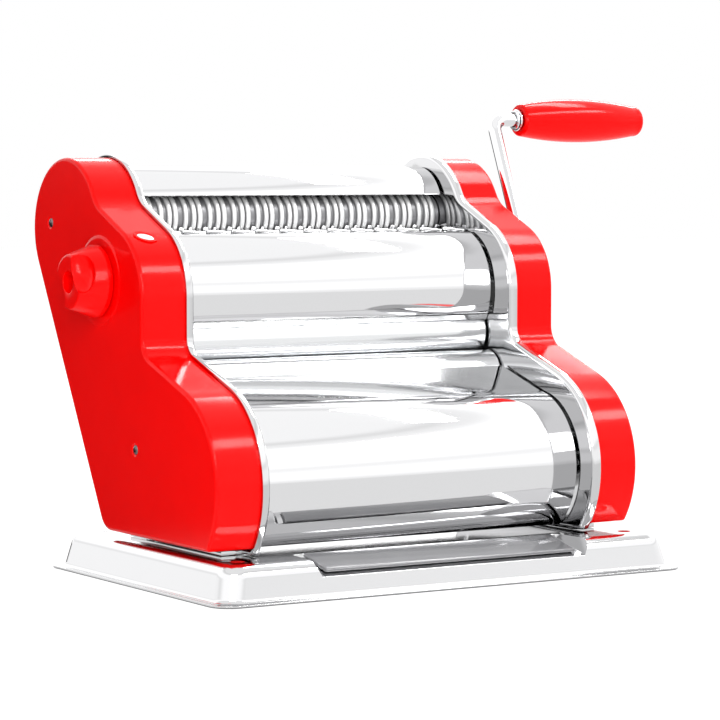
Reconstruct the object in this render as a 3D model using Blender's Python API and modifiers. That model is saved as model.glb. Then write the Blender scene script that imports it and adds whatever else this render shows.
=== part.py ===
"""Hand cranked pasta machine: two plates on a pressed tray, smooth rollers, noodle cutter and crank.

Metres, +Z up. X runs along the rollers with the crank at +X, the feed side faces -Y.
Outlines are in (Y, Z) as seen from +X. Angles turn from +Y towards +Z about +X.
"""
from math import acos, atan2, cos, hypot, pi, radians, sin, sqrt, tan

import bmesh
import bpy
from mathutils import Matrix, Vector

# Fits and sheet thicknesses
GAP = 0.0003
RUN_GAP = 0.0003
THROUGH = 0.002
PLATE_WALL = 0.0015
COVER_WALL = 0.0020
GUARD_WALL = 0.0012
TRAY_WALL = 0.0012

# Base tray
TRAY_LENGTH = 0.291
TRAY_DEPTH = 0.197
TRAY_HEIGHT = 0.020
TRAY_FLANGE = 0.0042
TRAY_DRAFT = 0.0052
TRAY_EDGE = 0.0045
TRAY_CORNER = 0.012
TRAY_CORNER_TAPER = 0.55
TRAY_LIFT = 0.0004
RECESS_LENGTH = 0.164
RECESS_SLOPE = radians(14.0)
RECESS_DEPTH = 0.0365
RECESS_DROP = 0.0012
INLAY_MARGIN = 0.004
INLAY_THICK = 0.0022
FOOT_RADIUS = 0.009
FOOT_INSET = 0.030

# Width between the side plates and the stack outside them
PLATE_INNER_X = 0.101
COVER_OUTER_X = 0.132
PLATE_RIM = 0.005
RIM_FIT = 0.0004
COVER_ROUND = 0.0035
FLANGE_REACH = 0.017
FLANGE_THICK = 0.0020
FLANGE_HALF_DEPTH = 0.050

# Outline of the side covers
COVER_BOTTOM_Z = 0.024
LOW_LOBE = (-0.018, 0.055)
LOW_LOBE_R = 0.0525
STEP_ANGLE = radians(19.8)
MID_FRONT_Y = 0.0095
MID_LOBE_R = 0.0381
MID_LOBE_Z = 0.150
SHOULDER_ANGLE = radians(24.7)
TOP_LOBE = (0.0995, 0.185)
TOP_LOBE_R = 0.039
TOP_FRONT_ANGLE = radians(148.0)
BACK_FOOT_Y = 0.0547
BACK_FOOT_R = 0.012
LOW_VALLEY_R = 0.012
HIGH_VALLEY_R = 0.018
TOE_R = 0.002

# Shaft axes
LOWER_AXIS = (0.0286, 0.1015)
PAIR_ANGLE = radians(57.8)
ROLLER_R = 0.01375
REST_NIP = 0.0005
GAP_TRAVEL = 0.003
REGULATOR_REACH = 0.0351
REGULATOR_SIDE = -0.00525
CUTTER_AXIS = (0.092, 0.191)
CUTTER_PAIR_ANGLE = radians(-6.5)
CUTTER_MEAN_R = 0.0126
CUTTER_RIDGE = 0.0009
CUTTER_MESH_GAP = 0.0002
CUTTER_PITCH = 0.0051
CUTTER_RIDGES = 39
CUTTER_SIDES = 10

# Shafts, bushes and rods
ROLLER_JOURNAL_R = 0.0065
UPPER_JOURNAL_R = 0.005
CUTTER_JOURNAL_R = 0.0045
REGULATOR_R = 0.0045
BUSH_WALL = 0.0018
BUSH_FLANGE = 0.0012
ROD_R = 0.004
ROD_END_R = 0.003
NUT_R = 0.0062
POST_R = 0.0030
LOW_POST = (0.0179, 0.0699)
TIE_RODS = ((-0.018, 0.055), (0.080, 0.163), LOW_POST)
SCREW_HEAD_R = 0.0032
SCREW_R = 0.0013
SCREW_DEPTH = 0.007
SCREW_HEAD_HEIGHT = 0.0014
SCREW_HEAD_TOP = 0.7
NUT_HEIGHT = 0.0035
BOLT_R = 0.002
BOLT_HEAD_R = 0.0045
BOLT_HEAD_HEIGHT = 0.0011
BOLT_NUT_R = 0.0040
BOLT_NUT_HEIGHT = 0.0032
BOLT_X = 0.1115
BOLT_Y = (-0.044, 0.040)

# Gear train, all behind the right cover
PRESSURE_ANGLE = radians(20.0)
BACKLASH = 0.0006
PAIR_GEAR_X = 0.1095
PAIR_GEAR_WIDTH = 0.0060
TRAIN_GEAR_X = 0.1180
TRAIN_GEAR_WIDTH = 0.0065
PAIR_TEETH = 14
TRAIN_MODULE = 0.0016
DRIVE_TEETH = 30
IDLER_TEETH = 42
CUTTER_TEETH = 26
IDLER_AXLE_R = 0.005
IDLER_FLANGE_R = 0.0065
SHAFT_END_X = 0.1255
PAIR_END_X = 0.1162
JOURNAL_LEFT_X = 0.1070
SHAFT_CAP_X = 0.1093
ADDENDUM = 0.8
DEDENDUM = 1.05

# Regulator
CAM_X = 0.1032
CAM_WIDTH = 0.0046
CAM_HIGH_R = 0.0100
CAM_GAP = 0.0004
KNOB_TURN = radians(270.0)
BLOCK_WIDTH = 0.019
BLOCK_THICK = 0.0052
STEM_HALF = 0.0038
GUIDE_BRIDGE = -0.0100
GUIDE_WIDTH = 0.004
WHEEL_R = 0.0320
WHEEL_X = 0.1100
WHEEL_WIDTH = 0.0160
WHEEL_HUB_R = 0.009
WHEEL_HUB_LENGTH = 0.0015
WHEEL_EDGE = 0.0008
KNOB_R = 0.0196
KNOB_TIP_R = 0.0145
KNOB_LENGTH = 0.0172
KNOB_SKIRT = 0.0026
KNOB_HOLE_R = 0.0061
KNOB_HOLE_DEPTH = 0.006
KNOB_WEB = 0.002
KNOB_EDGE = 0.0012
KNOB_SCREW_DEPTH = 0.006
KNOB_REST_TURN = radians(-25.0)
SCOOP_R = 0.0085
SCOOP_HALF = 0.0070
BOSS_R = 0.0245
BOSS_HEIGHT = 0.0012
WINDOW_X = 0.1205
WINDOW_ANGLE = radians(121.5)
WINDOW_HALF_WIDTH = 0.0058
WINDOW_HALF_HEIGHT = 0.0033

# Crank
CRANK_ROD_R = 0.0039
CRANK_ARM = 0.1652
CRANK_LEAN = radians(61.8)
CRANK_CLEAR = 0.0126
CRANK_SPLAY = 0.0120
CRANK_BEND_R = 0.009
CRANK_STUB_X = 0.1125
CRANK_SQUARE = 0.0062
GRIP_CLEAR = 0.0189
GRIP_LENGTH = 0.0885
GRIP_MAX_R = 0.0131
GRIP_INNER_R = 0.0097
GRIP_OUTER_R = 0.0093
COLLAR_LENGTH = 0.0035
COLLAR_R = 0.0065
GRIP_CAP = 0.006
GRIP_EDGE = 0.0017
GRIP_END_ROUND = 0.0028

# Guards, combs and rear panels
LOW_GUARD = (-0.018, 0.0545)
LOW_GUARD_R = 0.0398
RAMP_START = (0.0134, 0.1058)
RAMP_END = (-0.0237, 0.0940)
MID_GUARD = (0.059, 0.150)
MID_GUARD_R = 0.0345
TOP_GUARD = (0.1005, 0.1935)
TOP_GUARD_R = 0.0245
HOOD_BACK_R = 0.0330
PANEL_INSET = 0.008
SHEET_OUTLET = (0.050, 0.075)
NOODLE_OUTLET = (0.125, 0.150)
LOW_GUARD_END = radians(232.0)
MID_GUARD_START = radians(70.0)
MID_GUARD_END = radians(204.2)
MID_TAIL = 0.007
HOOD_START = radians(-50.0)
HOOD_END = radians(158.0)
FRONT_COMB_SPAN = (radians(203.0), radians(245.0))
REAR_COMB_SPAN = (radians(240.0), radians(285.0))
SCRAPER_DROP = radians(2.3)
UPPER_SCRAPER_ANGLE = radians(150.0)
LOWER_SCRAPER_ANGLE = radians(-45.0)
SCRAPER_LENGTH = 0.010
HEM = 0.003
LOW_PANEL_START = 0.006
COMB_GAP = 0.0006
COMB_THICK = 0.0010
SCRAPER_THICK = 0.0009

# Places worked out from the values above
COVER_INNER_X = COVER_OUTER_X - COVER_WALL
CRANK_LOW_X = COVER_OUTER_X + CRANK_CLEAR
CRANK_TOP_X = CRANK_LOW_X + CRANK_SPLAY
GRIP_START_X = CRANK_TOP_X + GRIP_CLEAR
RECESS_BACK_Y = RECESS_DEPTH - TRAY_DEPTH / 2
PLATE_OUTER_X = PLATE_INNER_X + PLATE_WALL
ROLLER_HALF = PLATE_INNER_X - 0.0005
SHEET_HALF = PLATE_INNER_X - GAP


def polar(centre, radius, angle):
    """Point at an angle and a distance from a centre."""
    return (centre[0] + radius * cos(angle), centre[1] + radius * sin(angle))


UPPER_AXIS = polar(LOWER_AXIS, 2 * ROLLER_R + REST_NIP, PAIR_ANGLE)
REGULATOR_AXIS = polar(polar(UPPER_AXIS, REGULATOR_REACH, PAIR_ANGLE), REGULATOR_SIDE, PAIR_ANGLE - pi / 2)
CUTTER_CENTRES = 2 * CUTTER_MEAN_R + CUTTER_MESH_GAP
REAR_CUTTER_AXIS = polar(CUTTER_AXIS, CUTTER_CENTRES, CUTTER_PAIR_ANGLE)
PAIR_RADIUS = (2 * ROLLER_R + REST_NIP) / 2
CUTTER_PAIR_RADIUS = CUTTER_CENTRES / 2
DRIVE_RADIUS = TRAIN_MODULE * DRIVE_TEETH / 2
IDLER_RADIUS = TRAIN_MODULE * IDLER_TEETH / 2
CUTTER_RADIUS = TRAIN_MODULE * CUTTER_TEETH / 2
CRANK_TOP = polar(LOWER_AXIS, CRANK_ARM, CRANK_LEAN)
KNOB_BASE_X = COVER_OUTER_X + BOSS_HEIGHT + GAP
KNOB_TIP_X = KNOB_BASE_X + KNOB_LENGTH
GRIP_END_X = GRIP_START_X + GRIP_LENGTH


def idler_centre():
    """Where a gear meshes with both the drive gear and the cutter gear, on the back side."""
    span_y = CUTTER_AXIS[0] - LOWER_AXIS[0]
    span_z = CUTTER_AXIS[1] - LOWER_AXIS[1]
    span = hypot(span_y, span_z)
    near = DRIVE_RADIUS + IDLER_RADIUS
    far = IDLER_RADIUS + CUTTER_RADIUS
    along = (near ** 2 - far ** 2 + span ** 2) / (2 * span)
    aside = sqrt(near ** 2 - along ** 2)
    unit_y = span_y / span
    unit_z = span_z / span
    return (LOWER_AXIS[0] + along * unit_y + aside * unit_z,
            LOWER_AXIS[1] + along * unit_z - aside * unit_y)


IDLER_AXIS = idler_centre()

# Scene, collections and the parent of the whole machine
for old in list(bpy.data.objects):
    bpy.data.objects.remove(old, do_unlink=True)

machine = bpy.data.collections.new("pasta_machine")
cutters = bpy.data.collections.new("cutters")
bpy.context.scene.collection.children.link(machine)
bpy.context.scene.collection.children.link(cutters)

LOW_X = -KNOB_TIP_X
HIGH_X = GRIP_END_X
LOW_Y = -TRAY_DEPTH / 2
HIGH_Y = TOP_LOBE[0] + TOP_LOBE_R + RIM_FIT + PLATE_WALL
base = bpy.data.objects.new("machine_base", None)
base.location = (-(LOW_X + HIGH_X) / 2, -(LOW_Y + HIGH_Y) / 2, 0)
machine.objects.link(base)


def material(name, colour, roughness, metallic):
    """Principled material with one colour."""
    made = bpy.data.materials.new(name)
    made.use_nodes = True
    shader = made.node_tree.nodes["Principled BSDF"]
    shader.inputs["Base Color"].default_value = (*colour, 1)
    shader.inputs["Roughness"].default_value = roughness
    shader.inputs["Metallic"].default_value = metallic
    made.diffuse_color = (*colour, 1)
    return made


RED = (0.80, 0.004, 0.004)
STEEL = (0.82, 0.82, 0.83)
DULL_STEEL = (0.55, 0.55, 0.57)
BRONZE = (0.55, 0.36, 0.15)
BLACK = (0.02, 0.02, 0.02)
SMOKE = (0.10, 0.10, 0.11)
WHITE = (0.85, 0.85, 0.83)
RED_PLASTIC = (RED, 0.15, 0.0)
POLISHED = (STEEL, 0.08, 1.0)
SATIN = (DULL_STEEL, 0.35, 1.0)
BRONZE_METAL = (BRONZE, 0.35, 1.0)


# Ways of making a piece
def parent_for(name, centre):
    """Empty on a joint axis parallel to X, which carries the pieces that turn there."""
    empty = bpy.data.objects.new(name, None)
    empty.location = (0, centre[0], centre[1])
    empty.parent = base
    machine.objects.link(empty)
    return empty


def place(mesh, name, finish, parent):
    """Object for a mesh given in the machine's frame, hung from a parent at its own origin."""
    colour, roughness, metallic = finish
    mesh = mesh.copy()
    piece = bpy.data.objects.new(name, mesh)
    mesh.materials.clear()
    mesh.materials.append(material(name + "_finish", colour, roughness, metallic))
    machine.objects.link(piece)
    piece.parent = parent
    if parent is not base:
        mesh.transform(Matrix.Translation(-parent.location))
    return piece


def shade(piece, angle=32):
    piece.data.shade_smooth()
    piece.data.set_sharp_from_angle(angle=radians(angle))


def turned_mesh(profile, segments, centre, closed=False):
    """Mesh turned about a line parallel to X: the profile is (radius, x) from +X to -X."""
    mesh = bpy.data.meshes.new("turned")
    form = bmesh.new()
    points = [form.verts.new((radius, 0, height)) for radius, height in profile]
    pairs = list(zip(points, points[1:]))
    if closed:
        pairs.append((points[-1], points[0]))
    for first, second in pairs:
        form.edges.new((first, second))
    form.to_mesh(mesh)
    form.free()
    holder = bpy.data.objects.new("turned", mesh)
    machine.objects.link(holder)
    screw = holder.modifiers.new("turn", "SCREW")
    screw.axis = "Z"
    screw.steps = segments
    screw.render_steps = segments
    screw.use_merge_vertices = True
    screw.merge_threshold = 0.00001
    result = evaluated_mesh(holder)
    result.transform(Matrix.Rotation(pi / 2, 4, "Y"))
    result.transform(Matrix.Translation((0, centre[0], centre[1])))
    return result


def evaluated_mesh(holder):
    """Mesh of an object with its modifiers, after which the object is gone."""
    graph = bpy.context.evaluated_depsgraph_get()
    result = bpy.data.meshes.new_from_object(holder.evaluated_get(graph))
    result.transform(holder.matrix_world)
    bpy.data.objects.remove(holder, do_unlink=True)
    form = bmesh.new()
    form.from_mesh(result)
    bmesh.ops.remove_doubles(form, verts=form.verts, dist=0.000005)
    form.to_mesh(result)
    form.free()
    return result


def flat_mesh(outlines, low_x, high_x):
    """Flat (y, z) outlines with any holes, filled and extruded along X."""
    curve = bpy.data.curves.new("flat", "CURVE")
    curve.dimensions = "2D"
    curve.fill_mode = "BOTH"
    curve.extrude = (high_x - low_x) / 2
    for outline in outlines:
        spline = curve.splines.new("POLY")
        spline.points.add(len(outline) - 1)
        spline.use_cyclic_u = True
        for point, (across, up) in zip(spline.points, outline):
            point.co = (across, up, 0, 1)
    holder = bpy.data.objects.new("flat", curve)
    machine.objects.link(holder)
    holder.rotation_euler = (pi / 2, 0, pi / 2)
    holder.location = ((low_x + high_x) / 2, 0, 0)
    bpy.context.view_layer.update()
    return evaluated_mesh(holder)


def shell_mesh(outline, face_x, open_x, wall, rounding, steps):
    """Dish with a flat face at face_x and a wall that runs to open_x, thickened inwards."""
    mesh = bpy.data.meshes.new("shell")
    form = bmesh.new()
    rim = [form.verts.new((face_x, y, z)) for y, z in outline]
    face = form.faces.new(rim)
    sides = bmesh.ops.extrude_edge_only(form, edges=list(face.edges))
    moved = [item for item in sides["geom"] if isinstance(item, bmesh.types.BMVert)]
    bmesh.ops.translate(form, verts=moved, vec=(open_x - face_x, 0, 0))
    bmesh.ops.bevel(form, geom=list(face.edges), offset=rounding, segments=steps,
                    profile=0.5, affect="EDGES", clamp_overlap=True)
    bmesh.ops.recalc_face_normals(form, faces=form.faces)
    flat = max(form.faces, key=lambda item: item.calc_area())
    if flat.normal.x * (face_x - open_x) < 0:
        bmesh.ops.reverse_faces(form, faces=form.faces)
    form.to_mesh(mesh)
    form.free()
    holder = bpy.data.objects.new("shell", mesh)
    machine.objects.link(holder)
    thick = holder.modifiers.new("wall", "SOLIDIFY")
    thick.thickness = wall
    thick.offset = -1
    thick.use_even_offset = True
    return evaluated_mesh(holder)


def sheet_mesh(points, wall, low_x, high_x, side=1):
    """Bent sheet of even thickness between two x planes, its wall on the left (1) or right (-1)."""
    other = offset_line(points, wall * side)
    return flat_mesh([points + other[::-1]], low_x, high_x)


def join_meshes(meshes):
    """One mesh that holds several separate solids."""
    form = bmesh.new()
    for mesh in meshes:
        form.from_mesh(mesh)
    result = bpy.data.meshes.new("group")
    form.to_mesh(result)
    form.free()
    return result


def box_mesh(low, high, turn=None, about=(0, 0, 0)):
    """Box between two corners, turned about a point if asked."""
    mesh = bpy.data.meshes.new("box")
    form = bmesh.new()
    bmesh.ops.create_cube(form, size=1)
    size = [top - bottom for bottom, top in zip(low, high)]
    middle = [(top + bottom) / 2 for bottom, top in zip(low, high)]
    bmesh.ops.scale(form, verts=form.verts, vec=size)
    bmesh.ops.translate(form, verts=form.verts, vec=middle)
    form.to_mesh(mesh)
    form.free()
    if turn is not None:
        pivot = Matrix.Translation(about)
        mesh.transform(pivot @ turn @ pivot.inverted())
    return mesh


def rod_mesh(centre, radius, low_x, high_x, segments=16):
    """Plain round bar along X."""
    return turned_mesh([(0, high_x), (radius, high_x), (radius, low_x), (0, low_x)], segments, centre)


def upright_mesh(centre, profile, segments):
    """Mesh turned about a vertical line at (x, y): the profile is (radius, z) from the top down."""
    mesh = turned_mesh(profile, segments, (0, 0))
    mesh.transform(Matrix.Rotation(-pi / 2, 4, "Y"))
    mesh.transform(Matrix.Translation((centre[0], centre[1], 0)))
    return mesh


def boolean(piece, mesh, name, operation="DIFFERENCE"):
    """Cut a mesh from a piece, or add it, with a hidden helper object."""
    mesh = mesh.copy()
    helper = bpy.data.objects.new(name, mesh)
    cutters.objects.link(helper)
    helper.hide_render = True
    helper.display_type = "WIRE"
    helper.parent = piece.parent
    if piece.parent is not base:
        mesh.transform(Matrix.Translation(-piece.parent.location))
    cut = piece.modifiers.new(name, "BOOLEAN")
    cut.operation = operation
    cut.solver = "EXACT"
    cut.object = helper


# Outline helpers
def arc(centre, radius, start, end, steps):
    """Points along an arc, both ends included."""
    return [polar(centre, radius, start + (end - start) * step / steps) for step in range(steps + 1)]


def round_corner(before, corner, after, radius, steps):
    """Arc that replaces a corner between two straight lines."""
    to_before = Vector(before) - Vector(corner)
    to_after = Vector(after) - Vector(corner)
    half = to_before.angle(to_after) / 2
    reach = radius / sin(half)
    middle = (to_before.normalized() + to_after.normalized()).normalized()
    centre = Vector(corner) + middle * reach
    touch = radius / tan(half)
    first = Vector(corner) + to_before.normalized() * touch - centre
    last = Vector(corner) + to_after.normalized() * touch - centre
    start = atan2(first.y, first.x)
    sweep = atan2(last.y, last.x) - start
    sweep = (sweep + pi) % (2 * pi) - pi
    return arc(tuple(centre), radius, start, start + sweep, steps)


def cross(point, angle, other, other_angle):
    """Where two lines meet, each given by a point and an angle."""
    d1 = (cos(angle), sin(angle))
    d2 = (cos(other_angle), sin(other_angle))
    wide = d1[0] * d2[1] - d1[1] * d2[0]
    along = ((other[0] - point[0]) * d2[1] - (other[1] - point[1]) * d2[0]) / wide
    return (point[0] + along * d1[0], point[1] + along * d1[1])


def offset_line(points, distance, closed=False):
    """The same line moved sideways, to its left for a positive distance."""
    result = []
    count = len(points)
    for index, point in enumerate(points):
        before = points[index - 1] if index or closed else None
        after = points[(index + 1) % count] if index < count - 1 or closed else None
        here = Vector(point)
        ways = []
        if before is not None:
            ways.append((here - Vector(before)).normalized())
        if after is not None:
            ways.append((Vector(after) - here).normalized())
        normals = [Vector((-way.y, way.x)) for way in ways]
        side = sum(normals, Vector((0, 0))).normalized()
        stretch = 1 / max(side.dot(normals[0]), 0.3)
        result.append(tuple(here + side * distance * stretch))
    return result


def cover_outline(bottom_z):
    """Wavy outline of a side cover, clockwise from the toe as seen from +X with +Y to the right."""
    toe_drop = LOW_LOBE[1] - bottom_z
    toe = (LOW_LOBE[0] - sqrt(LOW_LOBE_R ** 2 - toe_drop ** 2), bottom_z)
    toe_angle = pi + atan2(toe_drop, LOW_LOBE[0] - toe[0])
    step_touch = polar(LOW_LOBE, LOW_LOBE_R, pi / 2 + STEP_ANGLE)
    front_line = (MID_FRONT_Y, MID_LOBE_Z)
    valley = cross(step_touch, STEP_ANGLE, front_line, pi / 2)
    mid_centre = (MID_FRONT_Y + MID_LOBE_R, MID_LOBE_Z)
    shoulder_touch = polar(mid_centre, MID_LOBE_R, pi / 2 + SHOULDER_ANGLE)
    top_touch = polar(TOP_LOBE, TOP_LOBE_R, TOP_FRONT_ANGLE)
    high_valley = cross(shoulder_touch, SHOULDER_ANGLE, top_touch, TOP_FRONT_ANGLE - pi / 2)
    foot = (BACK_FOOT_Y, bottom_z)
    span = hypot(TOP_LOBE[0] - foot[0], TOP_LOBE[1] - foot[1])
    back_angle = atan2(TOP_LOBE[1] - foot[1], TOP_LOBE[0] - foot[0]) - acos(
        sqrt(span ** 2 - TOP_LOBE_R ** 2) / span)
    back_touch = polar(TOP_LOBE, TOP_LOBE_R, back_angle - pi / 2)
    points = round_corner(foot, toe, polar(toe, TOE_R * 3, toe_angle - pi / 2), TOE_R, 2)
    points += arc(LOW_LOBE, LOW_LOBE_R, toe_angle - radians(3), pi / 2 + STEP_ANGLE, 11)
    points += round_corner(step_touch, valley, front_line, LOW_VALLEY_R, 4)
    points += arc(mid_centre, MID_LOBE_R, pi, pi / 2 + SHOULDER_ANGLE, 7)
    points += round_corner(shoulder_touch, high_valley, top_touch, HIGH_VALLEY_R, 3)
    points += arc(TOP_LOBE, TOP_LOBE_R, TOP_FRONT_ANGLE, back_angle - pi / 2, 13)
    points += round_corner(back_touch, foot, toe, BACK_FOOT_R, 3)
    return points


def circle(centre, radius, steps):
    return [polar(centre, radius, 2 * pi * step / steps) for step in range(steps)]


def combined(first, second, operation):
    """Boolean of two closed meshes as one new mesh."""
    holder = bpy.data.objects.new("first", first)
    helper = bpy.data.objects.new("second", second)
    machine.objects.link(holder)
    machine.objects.link(helper)
    step = holder.modifiers.new("combine", "BOOLEAN")
    step.operation = operation
    step.solver = "EXACT"
    step.object = helper
    result = evaluated_mesh(holder)
    bpy.data.objects.remove(helper, do_unlink=True)
    return result


def mirrored(mesh):
    """The same mesh on the other side of the machine."""
    copy = mesh.copy()
    copy.transform(Matrix.Scale(-1, 4, (1, 0, 0)))
    copy.flip_normals()
    return copy


def ring_mesh(centre, bore, steps_out, segments):
    """Turned ring: steps_out gives (radius, x) down the outside, the bore runs back up."""
    profile = steps_out + [(bore, steps_out[-1][1]), (bore, steps_out[0][1])]
    return turned_mesh(profile, segments, centre, closed=True)


# Base tray, inlay plate and feet
def rounded_rectangle(half_x, half_y, radius, steps=4):
    points = []
    for side_x, side_y, start in ((1, 1, 0), (-1, 1, 90), (-1, -1, 180), (1, -1, 270)):
        centre = (side_x * (half_x - radius), side_y * (half_y - radius))
        points += arc(centre, radius, radians(start), radians(start + 90), steps)
    return points


def tray_surface(rings, closed_below):
    """Rounded rectangles of (inset, z) bridged from the outside in, with the top face."""
    mesh = bpy.data.meshes.new("tray")
    form = bmesh.new()
    loops = []
    for inset, height in rings:
        outline = rounded_rectangle(TRAY_LENGTH / 2 - inset, TRAY_DEPTH / 2 - inset,
                                    TRAY_CORNER - inset * TRAY_CORNER_TAPER)
        verts = [form.verts.new((x, y, height)) for x, y in outline]
        loops.append([form.edges.new((a, b)) for a, b in zip(verts, verts[1:] + verts[:1])])
    for lower, upper in zip(loops, loops[1:]):
        bmesh.ops.bridge_loops(form, edges=lower + upper)
    bmesh.ops.contextual_create(form, geom=loops[-1])
    if closed_below:
        bmesh.ops.contextual_create(form, geom=loops[0])
    bmesh.ops.recalc_face_normals(form, faces=form.faces)
    top = max(form.faces, key=lambda item: item.calc_center_median().z)
    if top.normal.z < 0:
        bmesh.ops.reverse_faces(form, faces=form.faces)
    form.to_mesh(mesh)
    form.free()
    return mesh


def recess_section(grow):
    """Wedge above the recess floor, in (y, z), grown by a wall behind and below."""
    slope = tan(RECESS_SLOPE)
    back_y = RECESS_BACK_Y + grow
    back_z = TRAY_HEIGHT - RECESS_DROP - grow / cos(RECESS_SLOPE) + slope * grow
    front_y = -TRAY_DEPTH / 2
    front_z = back_z - slope * (back_y - front_y)
    high = TRAY_HEIGHT + TRAY_WALL * 2
    return [(back_y, high), (back_y, back_z), (front_y, front_z), (front_y, high)]


FLANGE_TOP = TRAY_LIFT + TRAY_WALL
WALL_INSET = TRAY_FLANGE + TRAY_DRAFT
tray_rings = [
    (0, FLANGE_TOP),
    (TRAY_FLANGE, FLANGE_TOP),
    (WALL_INSET, TRAY_HEIGHT - TRAY_EDGE),
    (WALL_INSET + TRAY_EDGE * 0.3, TRAY_HEIGHT - TRAY_EDGE * 0.3),
    (WALL_INSET + TRAY_EDGE, TRAY_HEIGHT),
]
holder = bpy.data.objects.new("tray_skin", tray_surface(tray_rings, False))
machine.objects.link(holder)
skin = holder.modifiers.new("wall", "SOLIDIFY")
skin.thickness = TRAY_WALL
skin.offset = -1
skin.use_even_offset = True
tray_shell = evaluated_mesh(holder)
tray_hull = tray_surface(tray_rings[1:], True)
half_recess = RECESS_LENGTH / 2
pocket = combined(tray_hull, flat_mesh([recess_section(TRAY_WALL)[::-1]], -half_recess - TRAY_WALL,
                                       half_recess + TRAY_WALL), "INTERSECT")
tray_shell = combined(tray_shell, pocket, "UNION")
base_tray = place(tray_shell, "base_tray", POLISHED, base)
boolean(base_tray, flat_mesh([recess_section(0)[::-1]], -half_recess, half_recess), "recess_cut")

floor_start = (RECESS_BACK_Y, TRAY_HEIGHT - RECESS_DROP)
floor_run = (TRAY_DEPTH / 2 - WALL_INSET + RECESS_BACK_Y) / cos(RECESS_SLOPE)
inlay = box_mesh((-half_recess + INLAY_MARGIN, -floor_run + INLAY_MARGIN, GAP),
                 (half_recess - INLAY_MARGIN, -INLAY_MARGIN / 2, GAP + INLAY_THICK),
                 Matrix.Rotation(RECESS_SLOPE, 4, "X"))
inlay.transform(Matrix.Translation((0, *floor_start)))
inlay_plate = place(inlay, "inlay_plate", (SMOKE, 0.2, 0.0), base)

foot_x = TRAY_LENGTH / 2 - FOOT_INSET
foot_y = TRAY_DEPTH / 2 - FOOT_INSET
foot_profile = [(0, TRAY_HEIGHT - TRAY_WALL - GAP), (FOOT_RADIUS * 0.8, TRAY_HEIGHT - TRAY_WALL - GAP),
                (FOOT_RADIUS, TRAY_LIFT), (FOOT_RADIUS * 0.9, 0), (0, 0)]
foot_places = [(side_x * foot_x, side_y * foot_y) for side_x in (-1, 1) for side_y in (-1, 1)]
for number, spot in enumerate(foot_places, 1):
    place(upright_mesh(spot, foot_profile, 16), f"rubber_foot_{number}", (BLACK, 0.8, 0.0), base)

# Bolts that hold the plates' bottom flanges to the tray
flange_bottom = TRAY_HEIGHT + GAP
flange_top = flange_bottom + FLANGE_THICK
bolt_places = [(side * BOLT_X, y) for side in (-1, 1) for y in BOLT_Y]
bolt_seat = flange_top + GAP
nut_seat = TRAY_HEIGHT - TRAY_WALL - GAP
bolt_profile = [
    (0, bolt_seat + BOLT_HEAD_HEIGHT), (BOLT_HEAD_R, bolt_seat + BOLT_HEAD_HEIGHT), (BOLT_HEAD_R, bolt_seat),
    (BOLT_R, bolt_seat), (BOLT_R, nut_seat), (BOLT_NUT_R, nut_seat), (BOLT_NUT_R, nut_seat - BOLT_NUT_HEIGHT),
    (0, nut_seat - BOLT_NUT_HEIGHT)]
for number, spot in enumerate(bolt_places, 1):
    place(upright_mesh(spot, bolt_profile, 12), f"frame_bolt_{number}", SATIN, base)


def bolt_holes(reach):
    """Clearance holes for the frame bolts."""
    profile = [(0, reach), (BOLT_R + GAP * 1.5, reach), (BOLT_R + GAP * 1.5, TRAY_HEIGHT - TRAY_WALL * 3),
               (0, TRAY_HEIGHT - TRAY_WALL * 3)]
    return join_meshes([upright_mesh(spot, profile, 12) for spot in bolt_places])


boolean(base_tray, bolt_holes(TRAY_HEIGHT + TRAY_WALL), "tray_bolt_holes")

# Side plates: pressed steel with an outward rim and a bolted bottom flange
BUSH_HOLE = BUSH_WALL + RUN_GAP * 2
PLATE_HOLES = [
    (LOWER_AXIS, ROLLER_JOURNAL_R + BUSH_HOLE),
    (polar(UPPER_AXIS, GAP_TRAVEL / 2, PAIR_ANGLE), UPPER_JOURNAL_R + GAP_TRAVEL / 2 + RUN_GAP * 2),
    (REGULATOR_AXIS, REGULATOR_R + RUN_GAP),
    (CUTTER_AXIS, CUTTER_JOURNAL_R + BUSH_HOLE),
    (REAR_CUTTER_AXIS, CUTTER_JOURNAL_R + BUSH_HOLE),
] + [(spot, ROD_END_R + RUN_GAP) for spot in TIE_RODS]
plate_outline = offset_line(cover_outline(flange_bottom + GAP + RIM_FIT + PLATE_WALL),
                            RIM_FIT + PLATE_WALL, closed=True)


def hole_pins(holes, low_x, high_x, segments=14):
    """Round cutters along X, one for each (centre, radius)."""
    return join_meshes([rod_mesh(centre, radius, low_x, high_x, segments) for centre, radius in holes])


def side_plate(name, side):
    plate = shell_mesh(plate_outline, PLATE_INNER_X, PLATE_INNER_X + PLATE_RIM, PLATE_WALL,
                       PLATE_WALL * 1.5, 2)
    flange = box_mesh((PLATE_INNER_X + PLATE_WALL * 2, -FLANGE_HALF_DEPTH, flange_bottom),
                      (PLATE_INNER_X + FLANGE_REACH, FLANGE_HALF_DEPTH, flange_top))
    if side < 0:
        plate = mirrored(plate)
        flange = mirrored(flange)
    piece = place(plate, name, POLISHED, base)
    boolean(piece, flange, name + "_flange", "UNION")
    low, high = sorted((side * (PLATE_INNER_X - THROUGH), side * (PLATE_OUTER_X + THROUGH)))
    boolean(piece, hole_pins(PLATE_HOLES, low, high), name + "_holes")
    boolean(piece, bolt_holes(flange_top + TRAY_WALL), name + "_bolt_holes")
    shade(piece)
    return piece


side_plate("side_plate_left", -1)
side_plate("side_plate_right", 1)

# Side covers: moulded red shells that sit inside the plates' rims
COVER_OPEN_X = PLATE_OUTER_X + GAP
LEFT_SCREWS = (REAR_CUTTER_AXIS, LOW_POST)
RIGHT_SCREWS = (IDLER_AXIS, LOW_POST)


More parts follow.
